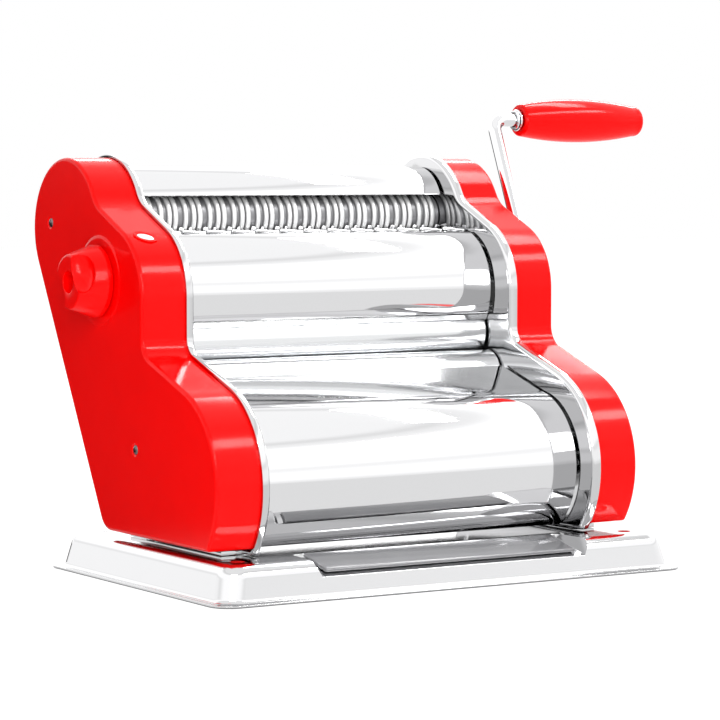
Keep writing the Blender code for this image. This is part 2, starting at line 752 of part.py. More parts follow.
def side_cover(name, side, boss_centre, hole_radius, screws):
    cover = shell_mesh(cover_outline(COVER_BOTTOM_Z), COVER_OUTER_X, COVER_OPEN_X, COVER_WALL,
                       COVER_ROUND, 2)
    boss = rod_mesh(boss_centre, BOSS_R, COVER_INNER_X + COVER_WALL / 2, COVER_OUTER_X + BOSS_HEIGHT, 32)
    holes = hole_pins([(boss_centre, hole_radius)] + [(spot, SCREW_R + GAP) for spot in screws],
                      COVER_INNER_X - THROUGH, COVER_OUTER_X + THROUGH * 2)
    if side < 0:
        cover, boss, holes = mirrored(cover), mirrored(boss), mirrored(holes)
    piece = place(cover, name, RED_PLASTIC, base)
    boolean(piece, boss, name + "_boss", "UNION")
    boolean(piece, holes, name + "_holes")
    shade(piece)
    return piece


cover_left = side_cover("side_cover_left", -1, REGULATOR_AXIS, REGULATOR_R + GAP, LEFT_SCREWS)
side_cover("side_cover_right", 1, LOWER_AXIS, CRANK_ROD_R + GAP * 5, RIGHT_SCREWS)

shoulder_centre = (MID_FRONT_Y + MID_LOBE_R, MID_LOBE_Z)
window_from = polar(shoulder_centre, MID_LOBE_R - COVER_WALL * 2, WINDOW_ANGLE)
window = upright_mesh((0, 0), [(0, COVER_WALL * 4), (WINDOW_HALF_WIDTH, COVER_WALL * 4),
                               (WINDOW_HALF_WIDTH, 0), (0, 0)], 20)
window.transform(Matrix.Diagonal((1, WINDOW_HALF_HEIGHT / WINDOW_HALF_WIDTH, 1, 1)))
window.transform(Matrix.Rotation(WINDOW_ANGLE - pi / 2, 4, "X"))
window.transform(Matrix.Translation((-WINDOW_X, *window_from)))
boolean(cover_left, window, "number_window")


# Posts and screws for the covers
def post_profile(low_x):
    """Post from the plate outwards with a blind screw hole in its end."""
    top = COVER_INNER_X - GAP
    bore = SCREW_R + GAP
    depth = top - SCREW_DEPTH
    return [(0, depth), (bore, depth), (bore, top), (POST_R, top), (POST_R, low_x), (0, low_x)]


def bearing_post():
    """Cap over the rear cutter's left journal, drawn out into a screw post."""
    profile = post_profile(SHAFT_CAP_X)[:-1]
    outer = CUTTER_JOURNAL_R + RUN_GAP + BUSH_WALL
    bore = CUTTER_JOURNAL_R + RUN_GAP
    profile += [(outer, SHAFT_CAP_X), (outer, COVER_OPEN_X + BUSH_FLANGE),
                (outer + BUSH_FLANGE, COVER_OPEN_X + BUSH_FLANGE), (outer + BUSH_FLANGE, COVER_OPEN_X),
                (outer, COVER_OPEN_X), (outer, PLATE_INNER_X), (bore, PLATE_INNER_X),
                (bore, SHAFT_CAP_X - BUSH_WALL), (0, SHAFT_CAP_X - BUSH_WALL)]
    return turned_mesh(profile, 12, REAR_CUTTER_AXIS)


place(mirrored(bearing_post()), "bearing_post", SATIN, base)


def screw_mesh(centre):
    head_x = COVER_OUTER_X + GAP
    tip_x = COVER_INNER_X - SCREW_DEPTH + GAP * 2
    profile = [(0, head_x + SCREW_HEAD_HEIGHT), (SCREW_HEAD_R * SCREW_HEAD_TOP, head_x + SCREW_HEAD_HEIGHT),
               (SCREW_HEAD_R, head_x), (SCREW_R, head_x), (SCREW_R, tip_x), (0, tip_x)]
    return turned_mesh(profile, 12, centre)


screws = [mirrored(screw_mesh(spot)) for spot in LEFT_SCREWS] + [screw_mesh(spot) for spot in RIGHT_SCREWS]
for number, screw in enumerate(screws, 1):
    place(screw, f"cover_screw_{number}", SATIN, base)

# Tie rods with their end nuts; the one at the low post runs on out to the cover screws
def tie_rod(centre, end_x):
    """Rod with shoulders inside the plates and a nut outside each; its ends take a screw if long."""
    shoulder_x = PLATE_INNER_X - GAP
    nut_x = COVER_OPEN_X + NUT_HEIGHT
    bore = SCREW_R + GAP
    half = [(ROD_END_R, end_x), (ROD_END_R, nut_x), (NUT_R, nut_x), (NUT_R, COVER_OPEN_X),
            (ROD_END_R, COVER_OPEN_X), (ROD_END_R, shoulder_x), (ROD_R, shoulder_x)]
    if end_x > nut_x + SCREW_DEPTH:
        half = [(0, end_x - SCREW_DEPTH), (bore, end_x - SCREW_DEPTH), (bore, end_x)] + half
    else:
        half = [(0, end_x)] + half
    other_half = [(radius, -x) for radius, x in reversed(half)]
    return turned_mesh(half + other_half, 10, centre)


short_end = COVER_OPEN_X + NUT_HEIGHT + GAP * 2
long_end = COVER_INNER_X - GAP
for number, spot in enumerate(TIE_RODS, 1):
    rod = tie_rod(spot, long_end if spot == LOW_POST else short_end)
    place(rod, f"tie_rod_{number}", SATIN, base)

# Guards, combs, scrapers and rear panels between the plates
low_start = atan2(RAMP_END[1] - LOW_GUARD[1], RAMP_END[0] - LOW_GUARD[0])
low_guard_line = [RAMP_START] + arc(LOW_GUARD, LOW_GUARD_R, low_start, LOW_GUARD_END, 12)
mid_start = polar(MID_GUARD, MID_GUARD_R, MID_GUARD_START)
mid_tail = (mid_start[0] + MID_TAIL * sin(MID_GUARD_START), mid_start[1] - MID_TAIL * cos(MID_GUARD_START))
mid_guard_line = [mid_tail] + arc(MID_GUARD, MID_GUARD_R, MID_GUARD_START, MID_GUARD_END, 12)
hood_centre = (TOP_GUARD[0], TOP_GUARD[1] + TOP_GUARD_R - HOOD_BACK_R)
hood_line = arc(hood_centre, HOOD_BACK_R, HOOD_START, pi / 2, 9)[:-1]
hood_line += arc(TOP_GUARD, TOP_GUARD_R, pi / 2, HOOD_END, 6)


def guard(name, line, wall=GUARD_WALL):
    piece = place(sheet_mesh(line, wall, -SHEET_HALF, SHEET_HALF), name, POLISHED, base)
    shade(piece)


guard("lower_guard", low_guard_line)
guard("middle_guard", mid_guard_line)
guard("upper_guard", hood_line)
comb_in = CUTTER_MEAN_R + CUTTER_RIDGE + COMB_GAP
guard("comb_front", arc(CUTTER_AXIS, comb_in + COMB_THICK, *FRONT_COMB_SPAN, 4), COMB_THICK)
guard("comb_rear", arc(REAR_CUTTER_AXIS, comb_in + COMB_THICK, *REAR_COMB_SPAN, 4), COMB_THICK)
guard("scraper_upper", [polar(MID_GUARD, MID_GUARD_R - GUARD_WALL, MID_GUARD_END + SCRAPER_DROP),
                        polar(UPPER_AXIS, ROLLER_R + COMB_GAP, UPPER_SCRAPER_ANGLE)], SCRAPER_THICK)
guard("scraper_lower", [polar(LOWER_AXIS, ROLLER_R + COMB_GAP, LOWER_SCRAPER_ANGLE),
                        polar(LOWER_AXIS, ROLLER_R + COMB_GAP + SCRAPER_LENGTH, LOWER_SCRAPER_ANGLE)],
      SCRAPER_THICK)

foot_point = (BACK_FOOT_Y, COVER_BOTTOM_Z)
foot_span = hypot(TOP_LOBE[0] - foot_point[0], TOP_LOBE[1] - foot_point[1])
back_lean = atan2(TOP_LOBE[1] - foot_point[1], TOP_LOBE[0] - foot_point[0]) - acos(
    sqrt(foot_span ** 2 - TOP_LOBE_R ** 2) / foot_span)
panel_foot = polar(foot_point, PANEL_INSET, back_lean + pi / 2)


def rear_panel(name, start, end):
    """Flat sheet along the back line with its two edges hemmed inwards."""
    low = polar(panel_foot, start, back_lean)
    high = polar(panel_foot, end, back_lean)
    line = [polar(low, HEM, back_lean + pi / 2), low, high, polar(high, HEM, back_lean + pi / 2)]
    guard(name, line)


rear_panel("rear_panel_lower", LOW_PANEL_START, SHEET_OUTLET[0])
rear_panel("rear_panel_upper", SHEET_OUTLET[1], NOODLE_OUTLET[0])


# Bushes
def bush_mesh(centre, journal_r):
    bore = journal_r + RUN_GAP
    outer = bore + BUSH_WALL
    flange_x = COVER_OPEN_X + BUSH_FLANGE
    steps = [(outer + BUSH_FLANGE, flange_x), (outer + BUSH_FLANGE, COVER_OPEN_X),
             (outer, COVER_OPEN_X), (outer, PLATE_INNER_X)]
    return ring_mesh(centre, bore, steps, 14)


lower_bush = bush_mesh(LOWER_AXIS, ROLLER_JOURNAL_R)
place(lower_bush, "roller_bush_right", BRONZE_METAL, base)
place(mirrored(lower_bush), "roller_bush_left", BRONZE_METAL, base)
front_bush = bush_mesh(CUTTER_AXIS, CUTTER_JOURNAL_R)
place(front_bush, "front_cutter_bush_right", BRONZE_METAL, base)
place(mirrored(front_bush), "front_cutter_bush_left", BRONZE_METAL, base)
place(bush_mesh(REAR_CUTTER_AXIS, CUTTER_JOURNAL_R), "rear_cutter_bush_right", BRONZE_METAL, base)

# Joint axes
drive_axis = parent_for("drive_axis", LOWER_AXIS)
upper_axis = parent_for("upper_roller_axis", UPPER_AXIS)
idler_axis = parent_for("idler_axis", IDLER_AXIS)
front_cutter_axis = parent_for("front_cutter_axis", CUTTER_AXIS)
rear_cutter_axis = parent_for("rear_cutter_axis", REAR_CUTTER_AXIS)
regulator_axis = parent_for("regulator_axis", REGULATOR_AXIS)
grip_axis = parent_for("grip_axis", CRANK_TOP)


# Smooth rollers
def roller_profile(journal_r, right_x):
    edge = ROLLER_R * 0.06
    return [(0, right_x), (journal_r, right_x), (journal_r, ROLLER_HALF), (ROLLER_R - edge, ROLLER_HALF),
            (ROLLER_R, ROLLER_HALF - edge), (ROLLER_R, edge - ROLLER_HALF), (ROLLER_R - edge, -ROLLER_HALF),
            (journal_r, -ROLLER_HALF), (journal_r, -JOURNAL_LEFT_X), (0, -JOURNAL_LEFT_X)]


lower_roller = place(turned_mesh(roller_profile(ROLLER_JOURNAL_R, SHAFT_END_X), 32, LOWER_AXIS),
                     "lower_roller", POLISHED, drive_axis)
socket_half = CRANK_SQUARE / 2 + GAP
socket = box_mesh((CRANK_STUB_X, LOWER_AXIS[0] - socket_half, LOWER_AXIS[1] - socket_half),
                  (SHAFT_END_X + THROUGH, LOWER_AXIS[0] + socket_half, LOWER_AXIS[1] + socket_half))
boolean(lower_roller, socket, "crank_socket")
shade(lower_roller)
upper_roller = place(turned_mesh(roller_profile(UPPER_JOURNAL_R, PAIR_END_X), 32, UPPER_AXIS),
                     "upper_roller", POLISHED, upper_axis)
shade(upper_roller)


# Noodle cutters: ridges of one stand in the grooves of the other
def cutter_profile(right_x, left_x, first):
    """Zigzag of ridges and grooves; first is 1 to start on a ridge and -1 to start in a groove."""
    half = CUTTER_PITCH / 2
    count = CUTTER_RIDGES * 2
    start = count * half / 2
    points = [(0, right_x), (CUTTER_JOURNAL_R, right_x), (CUTTER_JOURNAL_R, ROLLER_HALF),
              (CUTTER_MEAN_R - CUTTER_RIDGE, ROLLER_HALF)]
    for step in range(count + 1):
        swing = CUTTER_RIDGE * first * (1 if step % 2 == 0 else -1)
        points.append((CUTTER_MEAN_R + swing, start - step * half))
    points += [(CUTTER_MEAN_R - CUTTER_RIDGE, -ROLLER_HALF), (CUTTER_JOURNAL_R, -ROLLER_HALF),
               (CUTTER_JOURNAL_R, left_x), (0, left_x)]
    return points


front_profile = cutter_profile(SHAFT_END_X, -JOURNAL_LEFT_X, -1)
rear_profile = cutter_profile(PAIR_END_X, -JOURNAL_LEFT_X, 1)
place(turned_mesh(front_profile, CUTTER_SIDES, CUTTER_AXIS), "cutter_front", POLISHED, front_cutter_axis)
place(turned_mesh(rear_profile, CUTTER_SIDES, REAR_CUTTER_AXIS), "cutter_rear", POLISHED, rear_cutter_axis)


# Gears
def involute(angle):
    return tan(angle) - angle


def gear_outline(teeth, pitch_r, centre, phase):
    """Outline with one tooth centred on the phase angle."""
    module = 2 * pitch_r / teeth
    base_r = pitch_r * cos(PRESSURE_ANGLE)
    tip_r = pitch_r + module * ADDENDUM
    root_r = pitch_r - module * DEDENDUM
    at_pitch = pi / (2 * teeth) - BACKLASH / (4 * pitch_r)

    def half_angle(radius):
        reach = max(radius, base_r)
        return at_pitch + involute(PRESSURE_ANGLE) - involute(acos(base_r / reach))

    points = []
    for tooth in range(teeth):
        middle = phase + 2 * pi * tooth / teeth
        for radius, side in ((root_r, -1), (tip_r, -1), (tip_r, 1), (root_r, 1)):
            points.append(polar(centre, radius, middle + side * half_angle(radius)))
    return points


def mesh_phase(phase, teeth, pitch_r, centre, other_teeth, other_r, other_centre):
    """Phase at which a second gear's gap takes the first gear's nearest tooth."""
    line = atan2(other_centre[1] - centre[1], other_centre[0] - centre[0])
    step = 2 * pi / teeth
    offset = (phase - line + step / 2) % step - step / 2
    return line + pi - offset * pitch_r / other_r + pi / other_teeth


def gear(name, teeth, pitch_r, centre, phase, low_x, width, bore, finish, parent):
    outlines = [gear_outline(teeth, pitch_r, centre, phase), circle(centre, bore, 12)]
    place(flat_mesh(outlines, low_x, low_x + width), name, finish, parent)


upper_phase = mesh_phase(PAIR_ANGLE, PAIR_TEETH, PAIR_RADIUS, LOWER_AXIS, PAIR_TEETH, PAIR_RADIUS, UPPER_AXIS)
gear("lower_roller_gear", PAIR_TEETH, PAIR_RADIUS, LOWER_AXIS, PAIR_ANGLE, PAIR_GEAR_X, PAIR_GEAR_WIDTH,
     ROLLER_JOURNAL_R + RUN_GAP, SATIN, drive_axis)
gear("upper_roller_gear", PAIR_TEETH, PAIR_RADIUS, UPPER_AXIS, upper_phase, PAIR_GEAR_X, PAIR_GEAR_WIDTH,
     UPPER_JOURNAL_R + RUN_GAP, SATIN, upper_axis)
drive_phase = 0.0
idler_phase = mesh_phase(drive_phase, DRIVE_TEETH, DRIVE_RADIUS, LOWER_AXIS,
                         IDLER_TEETH, IDLER_RADIUS, IDLER_AXIS)
cutter_phase = mesh_phase(idler_phase, IDLER_TEETH, IDLER_RADIUS, IDLER_AXIS,
                          CUTTER_TEETH, CUTTER_RADIUS, CUTTER_AXIS)
gear("drive_gear", DRIVE_TEETH, DRIVE_RADIUS, LOWER_AXIS, drive_phase, TRAIN_GEAR_X, TRAIN_GEAR_WIDTH,
     ROLLER_JOURNAL_R + RUN_GAP, SATIN, drive_axis)
gear("idler_gear", IDLER_TEETH, IDLER_RADIUS, IDLER_AXIS, idler_phase, TRAIN_GEAR_X, TRAIN_GEAR_WIDTH,
     IDLER_AXLE_R + RUN_GAP, (WHITE, 0.4, 0.0), idler_axis)
gear("cutter_gear", CUTTER_TEETH, CUTTER_RADIUS, CUTTER_AXIS, cutter_phase, TRAIN_GEAR_X, TRAIN_GEAR_WIDTH,
     CUTTER_JOURNAL_R + RUN_GAP, SATIN, front_cutter_axis)
rear_phase = mesh_phase(CUTTER_PAIR_ANGLE, PAIR_TEETH, CUTTER_PAIR_RADIUS, CUTTER_AXIS,
                        PAIR_TEETH, CUTTER_PAIR_RADIUS, REAR_CUTTER_AXIS)
gear("cutter_pair_gear_front", PAIR_TEETH, CUTTER_PAIR_RADIUS, CUTTER_AXIS, CUTTER_PAIR_ANGLE,
     PAIR_GEAR_X, PAIR_GEAR_WIDTH, CUTTER_JOURNAL_R + RUN_GAP, SATIN, front_cutter_axis)
gear("cutter_pair_gear_rear", PAIR_TEETH, CUTTER_PAIR_RADIUS, REAR_CUTTER_AXIS, rear_phase,
     PAIR_GEAR_X, PAIR_GEAR_WIDTH, CUTTER_JOURNAL_R + RUN_GAP, SATIN, rear_cutter_axis)

axle_seat_x = TRAIN_GEAR_X - RUN_GAP
axle_end = post_profile(TRAIN_GEAR_X + TRAIN_GEAR_WIDTH + RUN_GAP)[:-1]
axle_profile = axle_end + [
    (IDLER_AXLE_R, TRAIN_GEAR_X + TRAIN_GEAR_WIDTH + RUN_GAP), (IDLER_AXLE_R, axle_seat_x),
    (IDLER_AXLE_R + BUSH_FLANGE, axle_seat_x), (IDLER_AXLE_R + BUSH_FLANGE, COVER_OPEN_X + BUSH_WALL),
    (IDLER_FLANGE_R, COVER_OPEN_X + BUSH_WALL), (IDLER_FLANGE_R, COVER_OPEN_X), (0, COVER_OPEN_X)]
place(turned_mesh(axle_profile, 12, IDLER_AXIS), "idler_axle", SATIN, base)


# Sliding bearing blocks, their guides and the regulator
def along_pair(along, across):
    """Point measured from the upper roller's axis, along and across the line of the two rollers."""
    return polar(polar(UPPER_AXIS, along, PAIR_ANGLE), across, PAIR_ANGLE - pi / 2)


stem_end = REGULATOR_REACH - CAM_HIGH_R - CAM_GAP
half_block = BLOCK_WIDTH / 2
stem_low, stem_high = REGULATOR_SIDE - STEM_HALF, REGULATOR_SIDE + STEM_HALF
block_outline = [along_pair(along, across) for along, across in (
    (-half_block, -half_block), (half_block, -half_block), (half_block, stem_low), (stem_end, stem_low),
    (stem_end, stem_high), (half_block, stem_high), (half_block, half_block), (-half_block, half_block))]
block = flat_mesh([block_outline, circle(UPPER_AXIS, UPPER_JOURNAL_R + RUN_GAP, 14)],
                  COVER_OPEN_X, COVER_OPEN_X + BLOCK_THICK)
place(block, "bearing_block_right", BRONZE_METAL, upper_axis)
place(mirrored(block), "bearing_block_left", BRONZE_METAL, upper_axis)

guide_reach = half_block + RUN_GAP
guide_outline = [along_pair(along, across) for along, across in (
    (half_block, -guide_reach), (half_block, -guide_reach - GUIDE_WIDTH),
    (GUIDE_BRIDGE - GUIDE_WIDTH, -guide_reach - GUIDE_WIDTH),
    (GUIDE_BRIDGE - GUIDE_WIDTH, guide_reach + GUIDE_WIDTH),
    (half_block, guide_reach + GUIDE_WIDTH), (half_block, guide_reach), (GUIDE_BRIDGE, guide_reach),
    (GUIDE_BRIDGE, -guide_reach))]
guide_mesh = flat_mesh([guide_outline[::-1]], COVER_OPEN_X, COVER_OPEN_X + BLOCK_THICK)
place(guide_mesh, "block_guide_right", SATIN, base)
place(mirrored(guide_mesh), "block_guide_left", SATIN, base)


def cam_outline(steps=20):
    """Snail cam: full radius towards the blocks at rest, falling evenly over the knob's turn."""
    points = []
    for step in range(steps):
        angle = 2 * pi * step / steps
        if angle <= KNOB_TURN:
            radius = CAM_HIGH_R - GAP_TRAVEL * angle / KNOB_TURN
        else:
            radius = CAM_HIGH_R - GAP_TRAVEL * (2 * pi - angle) / (2 * pi - KNOB_TURN)
        points.append(polar(REGULATOR_AXIS, radius, PAIR_ANGLE + pi - angle))
    return points


cam = flat_mesh([cam_outline()[::-1]], CAM_X, CAM_X + CAM_WIDTH)
knob_web_x = KNOB_TIP_X - KNOB_HOLE_DEPTH - KNOB_WEB
shaft = turned_mesh([(0, CAM_X + CAM_WIDTH), (REGULATOR_R, CAM_X + CAM_WIDTH),
                     (REGULATOR_R, GAP - knob_web_x), (SCREW_R + GAP, GAP - knob_web_x),
                     (SCREW_R + GAP, KNOB_SCREW_DEPTH - knob_web_x), (0, KNOB_SCREW_DEPTH - knob_web_x)],
                    14, REGULATOR_AXIS)
regulator_shaft = place(shaft, "regulator_shaft", SATIN, regulator_axis)
boolean(regulator_shaft, cam, "cam_right", "UNION")
boolean(regulator_shaft, mirrored(cam), "cam_left", "UNION")

wheel_low = WHEEL_X + WHEEL_WIDTH
wheel = ring_mesh(REGULATOR_AXIS, REGULATOR_R + RUN_GAP,
                  [(WHEEL_HUB_R, WHEEL_HUB_LENGTH - WHEEL_X), (WHEEL_HUB_R, -WHEEL_X),
                   (WHEEL_R - WHEEL_EDGE, -WHEEL_X), (WHEEL_R, -WHEEL_X - WHEEL_EDGE),
                   (WHEEL_R, WHEEL_EDGE - wheel_low), (WHEEL_R - WHEEL_EDGE, -wheel_low)], 28)
place(wheel, "number_wheel", (WHITE, 0.4, 0.0), regulator_axis)

# Knob with two scooped flanks and the hole that hides its screw
bore = REGULATOR_R + GAP
knob_profile = [(bore, -KNOB_BASE_X), (KNOB_R, -KNOB_BASE_X), (KNOB_R, -KNOB_BASE_X - KNOB_SKIRT),
                (KNOB_TIP_R, KNOB_EDGE - KNOB_TIP_X), (KNOB_TIP_R - KNOB_EDGE, -KNOB_TIP_X),
                (KNOB_HOLE_R, -KNOB_TIP_X), (KNOB_HOLE_R, KNOB_HOLE_DEPTH - KNOB_TIP_X),
                (SCREW_R + GAP, KNOB_HOLE_DEPTH - KNOB_TIP_X), (SCREW_R + GAP, -knob_web_x),
                (bore, -knob_web_x)]
regulator_knob = place(turned_mesh(knob_profile, 24, REGULATOR_AXIS, closed=True),
                       "regulator_knob", RED_PLASTIC, regulator_axis)
for side, name in ((-1, "scoop_front"), (1, "scoop_back")):
    scoop = upright_mesh((0, 0), [(0, KNOB_R * 2), (SCOOP_R, KNOB_R * 2), (SCOOP_R, -KNOB_R * 2),
                                  (0, -KNOB_R * 2)], 24)
    scoop.transform(Matrix.Translation((-KNOB_TIP_X, side * (SCOOP_R + SCOOP_HALF), 0)))
    scoop.transform(Matrix.Rotation(KNOB_REST_TURN, 4, "X"))
    scoop.transform(Matrix.Translation((0, *REGULATOR_AXIS)))
    boolean(regulator_knob, scoop, name)
shade(regulator_knob)
head_x = KNOB_HOLE_DEPTH - KNOB_TIP_X - GAP
knob_screw_tip = KNOB_SCREW_DEPTH - knob_web_x - GAP
knob_screw = turned_mesh([(0, knob_screw_tip), (SCREW_R, knob_screw_tip), (SCREW_R, head_x),
                          (SCREW_HEAD_R, head_x), (SCREW_HEAD_R, head_x - SCREW_HEAD_HEIGHT),
                          (0, head_x - SCREW_HEAD_HEIGHT)], 12, REGULATOR_AXIS)
place(knob_screw, "knob_screw", SATIN, regulator_axis)


# Crank: bent rod with a square end, and a red grip that turns on it
def crank_points():
    """Rod centre line as (x, distance from the crank axis), with its two round bends."""
    low_corner = (CRANK_LOW_X, 0)
    high_corner = (CRANK_TOP_X, CRANK_ARM)
    start = (SHAFT_END_X + GAP * 3, 0)
    end = (GRIP_END_X - GRIP_CAP - GAP * 4, CRANK_ARM)
    line = [start]
    line += round_corner(start, low_corner, high_corner, CRANK_BEND_R, 6)
    line += round_corner(low_corner, high_corner, end, CRANK_BEND_R, 6)
    line.append(end)
    return [(x, *polar(LOWER_AXIS, reach, CRANK_LEAN)) for x, reach in line]


def rod_curve_mesh(points, radius):
    curve = bpy.data.curves.new("rod", "CURVE")
    curve.dimensions = "3D"
    curve.bevel_depth = radius
    curve.bevel_resolution = 2
    curve.use_fill_caps = True
    spline = curve.splines.new("POLY")
    spline.points.add(len(points) - 1)
    for point, place_at in zip(spline.points, points):
        point.co = (*place_at, 1)
    holder = bpy.data.objects.new("rod", curve)
    machine.objects.link(holder)
    bpy.context.view_layer.update()
    return evaluated_mesh(holder)


crank_rod = place(rod_curve_mesh(crank_points(), CRANK_ROD_R), "crank_rod", POLISHED, drive_axis)
half_square = CRANK_SQUARE / 2
stub = box_mesh((CRANK_STUB_X + GAP, LOWER_AXIS[0] - half_square, LOWER_AXIS[1] - half_square),
                (SHAFT_END_X + CRANK_ROD_R, LOWER_AXIS[0] + half_square, LOWER_AXIS[1] + half_square))
boolean(crank_rod, stub, "square_end", "UNION")
shade(crank_rod)


def grip_profile(steps=9):
    """Barrel that swells to its middle and narrows to a round outer end, with a blind bore."""
    points = [(0, GRIP_END_X), (GRIP_OUTER_R - GRIP_END_ROUND, GRIP_END_X),
              (GRIP_OUTER_R - GRIP_EDGE / 2, GRIP_END_X - GRIP_EDGE)]
    body_end = GRIP_END_X - GRIP_END_ROUND * 1.6
    body_start = GRIP_START_X + GRIP_EDGE
    for step in range(steps + 1):
        share = step / steps
        swell = 4 * share * (1 - share)
        straight = GRIP_OUTER_R + (GRIP_INNER_R - GRIP_OUTER_R) * share
        middle = (GRIP_OUTER_R + GRIP_INNER_R) / 2
        points.append((straight + (GRIP_MAX_R - middle) * swell, body_end + (body_start - body_end) * share))
    bore_r = CRANK_ROD_R + GAP
    points += [(GRIP_INNER_R - GRIP_EDGE, GRIP_START_X), (bore_r, GRIP_START_X),
               (bore_r, GRIP_END_X - GRIP_CAP), (0, GRIP_END_X - GRIP_CAP)]
    return points


crank_grip = place(turned_mesh(grip_profile(), 20, CRANK_TOP), "crank_grip", RED_PLASTIC, grip_axis)
shade(crank_grip)
collar = ring_mesh(CRANK_TOP, CRANK_ROD_R + GAP,
                   [(COLLAR_R * 0.8, GRIP_START_X - GAP), (COLLAR_R, GRIP_START_X - GAP - COLLAR_LENGTH * 0.3),
                    (COLLAR_R * 0.9, GRIP_START_X - GAP - COLLAR_LENGTH)], 20)
place(collar, "grip_collar", POLISHED, drive_axis)
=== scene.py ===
from math import acos, atan2, cos, hypot, pi, radians, sin, sqrt, tan

import bpy
from mathutils import Matrix, Vector


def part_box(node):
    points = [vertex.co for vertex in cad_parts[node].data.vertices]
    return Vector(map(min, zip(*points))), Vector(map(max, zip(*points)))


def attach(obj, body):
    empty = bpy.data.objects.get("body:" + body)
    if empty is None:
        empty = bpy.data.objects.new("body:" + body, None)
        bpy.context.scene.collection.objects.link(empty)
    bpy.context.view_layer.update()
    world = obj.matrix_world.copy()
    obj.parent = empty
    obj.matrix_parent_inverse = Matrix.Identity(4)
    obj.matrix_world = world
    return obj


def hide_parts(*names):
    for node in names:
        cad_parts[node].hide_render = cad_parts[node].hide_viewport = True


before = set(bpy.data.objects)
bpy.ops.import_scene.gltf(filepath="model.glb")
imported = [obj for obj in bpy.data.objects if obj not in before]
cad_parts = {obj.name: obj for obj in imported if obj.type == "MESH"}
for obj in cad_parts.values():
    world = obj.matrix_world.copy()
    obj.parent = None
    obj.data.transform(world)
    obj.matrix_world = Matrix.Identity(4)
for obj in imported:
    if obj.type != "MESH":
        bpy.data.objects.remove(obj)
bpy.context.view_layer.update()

# The machine stands in its own frame, whose X runs along the rollers and is 0 midway between the two side plates,
# and whose Y is 0 at the middle of the tray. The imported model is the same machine, moved by a fixed step.
left_plate_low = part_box("side_plate_left")[0]
right_plate_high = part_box("side_plate_right")[1]
tray_low, tray_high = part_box("base_tray")
MIDDLE = Vector(((left_plate_low.x + right_plate_high.x) / 2, (tray_low.y + tray_high.y) / 2, 0))

# The studio is a white paper sweep, as for a catalogue picture. The paper keeps the machine's shadow, and to the
# camera and in the metal it shows as white. Behind the machine on the left it falls off to a grey board.
PAPER_WHITE = "#F4F4F4"
PAPER_GLOW = 0.95
PAPER_SIZE = 12.0
PAPER_DROP = 0.0003
MIRRORED_PAPER = 1.18
GREY_BOARD = 0.07
BOARD_SIDE = Vector((-0.53, 0.85, 0.0))


def linear(hex_colour):
    """An sRGB hex colour as the linear values that shaders take."""
    parts = [int(hex_colour[i:i + 2], 16) / 255 for i in (1, 3, 5)]
    return tuple(c / 12.92 if c <= 0.04045 else ((c + 0.055) / 1.055) ** 2.4 for c in parts) + (1.0,)


def add_node(tree, kind, settings=None, links=None):
    """A node with its settings by attribute or socket, and links from (node, socket) to its sockets."""
    node = tree.nodes.new(kind)
    for key, value in (settings or {}).items():
        if isinstance(key, str) and hasattr(node, key):
            setattr(node, key, value)
        else:
            node.inputs[key].default_value = value
    for socket, (source, output) in (links or {}).items():
        tree.links.new(source.outputs[output], node.inputs[socket])
    return node


def empty_material(name):
    """A material with only its output node."""
    made = bpy.data.materials.new(name)
    made.use_nodes = True
    tree = made.node_tree
    tree.nodes.clear()
    return made, tree, tree.nodes.new("ShaderNodeOutputMaterial")


bpy.ops.object.select_all(action="DESELECT")
bpy.ops.mesh.primitive_plane_add(size=PAPER_SIZE, location=(0, 0, -PAPER_DROP))
paper = bpy.context.object
paper.name = "paper_floor"
paper_look, tree, output = empty_material("white_paper")
path = add_node(tree, "ShaderNodeLightPath")
place = add_node(tree, "ShaderNodeTexCoord")
towards_board = add_node(tree, "ShaderNodeVectorMath", {"operation": "DOT_PRODUCT", 1: BOARD_SIDE},
                         {0: (place, "Object")})
from_middle = add_node(tree, "ShaderNodeVectorMath", {"operation": "NORMALIZE"}, {0: (place, "Object")})
board_bearing = add_node(tree, "ShaderNodeVectorMath", {"operation": "DOT_PRODUCT", 1: BOARD_SIDE},
                         {0: (from_middle, "Vector")})
far_off = add_node(tree, "ShaderNodeMapRange", {"interpolation_type": "SMOOTHSTEP", "From Min": 0.12, "From Max": 0.36},
                   {"Value": (towards_board, "Value")})
in_sector = add_node(tree, "ShaderNodeMapRange", {"interpolation_type": "SMOOTHSTEP", "From Min": 0.55,
                                                  "From Max": 0.80}, {"Value": (board_bearing, "Value")})
under_board = add_node(tree, "ShaderNodeMath", {"operation": "MULTIPLY"}, {0: (far_off, 0), 1: (in_sector, 0)})
mirrored = add_node(tree, "ShaderNodeMapRange", {"To Min": MIRRORED_PAPER, "To Max": GREY_BOARD},
                    {"Value": (under_board, 0)})
lit_paper = add_node(tree, "ShaderNodeBsdfDiffuse", {"Color": linear(PAPER_WHITE)})
faint_paper = add_node(tree, "ShaderNodeBsdfDiffuse", {"Color": (0.26, 0.26, 0.26, 1)})
glow = add_node(tree, "ShaderNodeEmission", {"Strength": PAPER_GLOW})
shown_paper = add_node(tree, "ShaderNodeAddShader", links={0: (faint_paper, 0), 1: (glow, 0)})
mirror_glow = add_node(tree, "ShaderNodeEmission", links={"Strength": (mirrored, 0)})
clear = add_node(tree, "ShaderNodeMath", {"operation": "MAXIMUM"},
                 {0: (path, "Is Camera Ray"), 1: (path, "Is Transmission Ray")})
for_metal = add_node(tree, "ShaderNodeMixShader",
                     links={0: (path, "Is Glossy Ray"), 1: (lit_paper, 0), 2: (mirror_glow, 0)})
mixed = add_node(tree, "ShaderNodeMixShader", links={0: (clear, 0), 1: (for_metal, 0), 2: (shown_paper, 0)})
tree.links.new(mixed.outputs[0], output.inputs["Surface"])
